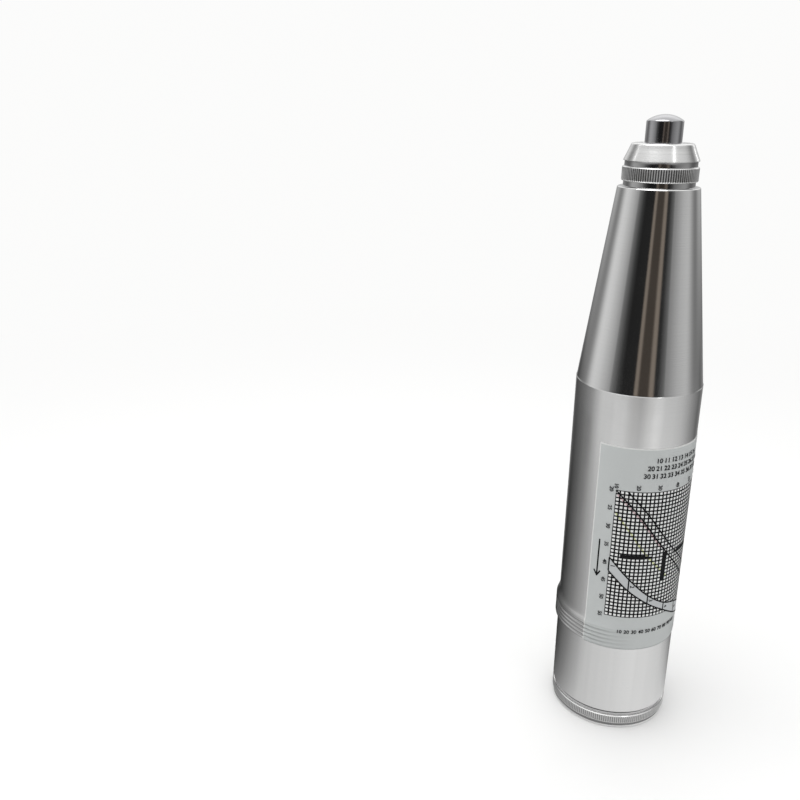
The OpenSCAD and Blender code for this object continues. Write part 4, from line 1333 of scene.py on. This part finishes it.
mirrored_floor = fade(tree, away, 0.6, 1.1, mirrored_floor, node(tree, "BsdfTransparent").outputs[0])
rays = node(tree, "LightPath")
lit_floor = mix_shaders(tree, rays.outputs["Is Glossy Ray"], shader.outputs[0], mirrored_floor)
wire(tree, mix_shaders(tree, rays.outputs["Is Camera Ray"], lit_floor, seen_floor),
     tree.nodes["Material Output"].inputs["Surface"])
floor.data.materials.append(floor_paint)
floor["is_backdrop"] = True
print("floor:", floor.name)

# %% Dark card
CARD_AWAY, CARD_W, CARD_H = 0.75, 1.7, 0.44

let_go()
bpy.ops.mesh.primitive_plane_add(size=1)
dark_card = bpy.context.object
dark_card.name = "dark_card"
upright = Matrix.Rotation(math.radians(90), 4, "X") @ Matrix.Diagonal((CARD_W, CARD_H, 1, 1))
dark_card.matrix_world = Matrix.Translation((-0.05, -CARD_AWAY, 0.22)) @ upright
apply_place()
dark_card.visible_camera = dark_card.visible_diffuse = dark_card.visible_shadow = False
card_paint, tree, shader = empty_material("dark_card")
sideways = maths(tree, "ARCTANGENT", maths(tree, "DIVIDE", coordinates(tree)[0], CARD_AWAY))
azimuth = maths(tree, "MULTIPLY", sideways, 180 / math.pi)
WARM, WARM_DARK = (0.22, 0.185, 0.155), (0.06, 0.05, 0.042)
# Painted reflection: only the metal's mirror sees the card, which shines dark, brighter at its ends, with
# two warm strips.
card_stops = [(-58, 0.5), (-48, 0.18), (-36, 0.05), (-28, 0.018), (-7, 0.02), (-5, WARM), (-1, WARM),
              (2, WARM_DARK), (17, WARM_DARK), (21, WARM), (26, WARM), (29, 0.025), (34, 0.03),
              (44, 0.13), (58, 0.36)]
card_glow = lit(tree, brightness(tree, azimuth, -60, 60, card_stops))
wire(tree, card_glow, tree.nodes["Material Output"].inputs["Surface"])
dark_card.data.materials.append(card_paint)
dark_card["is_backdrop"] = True
print("card:", dark_card.name)

# %% Dome light
world = bpy.data.worlds.new("soft_dome")
bpy.context.scene.world = world
world.use_nodes = True
tree = world.node_tree
sideways, backwards, upwards = coordinates(tree, "Generated")
lobe = maths(tree, "POWER", maths(tree, "ABSOLUTE", sideways), 4)
dimmed = maths(tree, "SUBTRACT", 1, ramp_up(tree, backwards, 0, 0.45, 0.65))
lobe = maths(tree, "MULTIPLY", lobe, dimmed)
leaning = maths(tree, "ADD", maths(tree, "MULTIPLY", sideways, -0.09), 0.51)
horizon = maths(tree, "ADD", maths(tree, "MULTIPLY", lobe, leaning), 0.12)
overhead_glow = ramp_up(tree, upwards, 0.3, 0.85, 0.95)
behind = ramp_up(tree, backwards, 0.45, 0.85, 0.85)
behind = maths(tree, "MULTIPLY", behind, ramp_up(tree, upwards, -0.3, 0.4))
dome = maths(tree, "ADD", maths(tree, "ADD", horizon, overhead_glow), behind)
grey = node(tree, "CombineColor")
for socket in grey.inputs[:3]:
    wire(tree, dome, socket)
in_sight = node(tree, "LightPath").outputs["Is Camera Ray"]
seen = two_colours(tree, in_sight, grey.outputs[0], STUDIO_WHITE)
wire(tree, seen, tree.nodes["Background"].inputs["Color"])
print("world:", world.name)

# %% [markdown]
# One softbox overhead lights the label and throws the soft shadow on the floor. Three weak strips
# of light stand round the hammer. Each draws one narrow bright line on the slopes of the caps,
# which tells the eye that the metal is turned. All of them face the middle of the stage.

# %% Softbox and strips
# Azimuth and rise in degrees, width and height in metres, and the power of each strip
STRIPS = ((45, 42, 0.08, 0.5, 0.24), (-98, 42, 0.05, 0.4, 0.12), (143, 25, 0.06, 0.3, 0.1))
STRIP_AWAY = 1.2

let_go()
bpy.ops.object.light_add(type="AREA", location=(-0.25, -0.2, 1.3))
overhead = bpy.context.object
overhead.name = "overhead_softbox"
overhead.data.shape, overhead.data.size = "DISK", 1.1
overhead.data.energy = 6.6
overhead.rotation_euler = (math.radians(8), math.radians(-11), 0)
for bearing, rise, wide, tall, energy in STRIPS:
    bpy.ops.object.light_add(type="AREA")
    strip = bpy.context.object
    strip.name = "strip_light"
    strip.data.shape = "RECTANGLE"
    strip.data.size, strip.data.size_y, strip.data.energy = wide, tall, energy
    swing = Matrix.Rotation(math.radians(bearing), 4, "Z")
    lean = Matrix.Rotation(math.radians(90 - rise), 4, "X")
    strip.matrix_world = swing @ lean @ Matrix.Translation((0, 0, STRIP_AWAY))
bpy.context.scene.view_settings.view_transform = "Standard"
print("lights:", overhead.name, "and", len(STRIPS), "strips")

# %% [markdown]
# Last, the box of the dressed model is measured and its height printed. Dressing a part hardly
# changes its size.

# %% Size of the dressed model
low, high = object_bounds()
print("dressed height in mm:", round((high.z - low.z) / MM, 2))
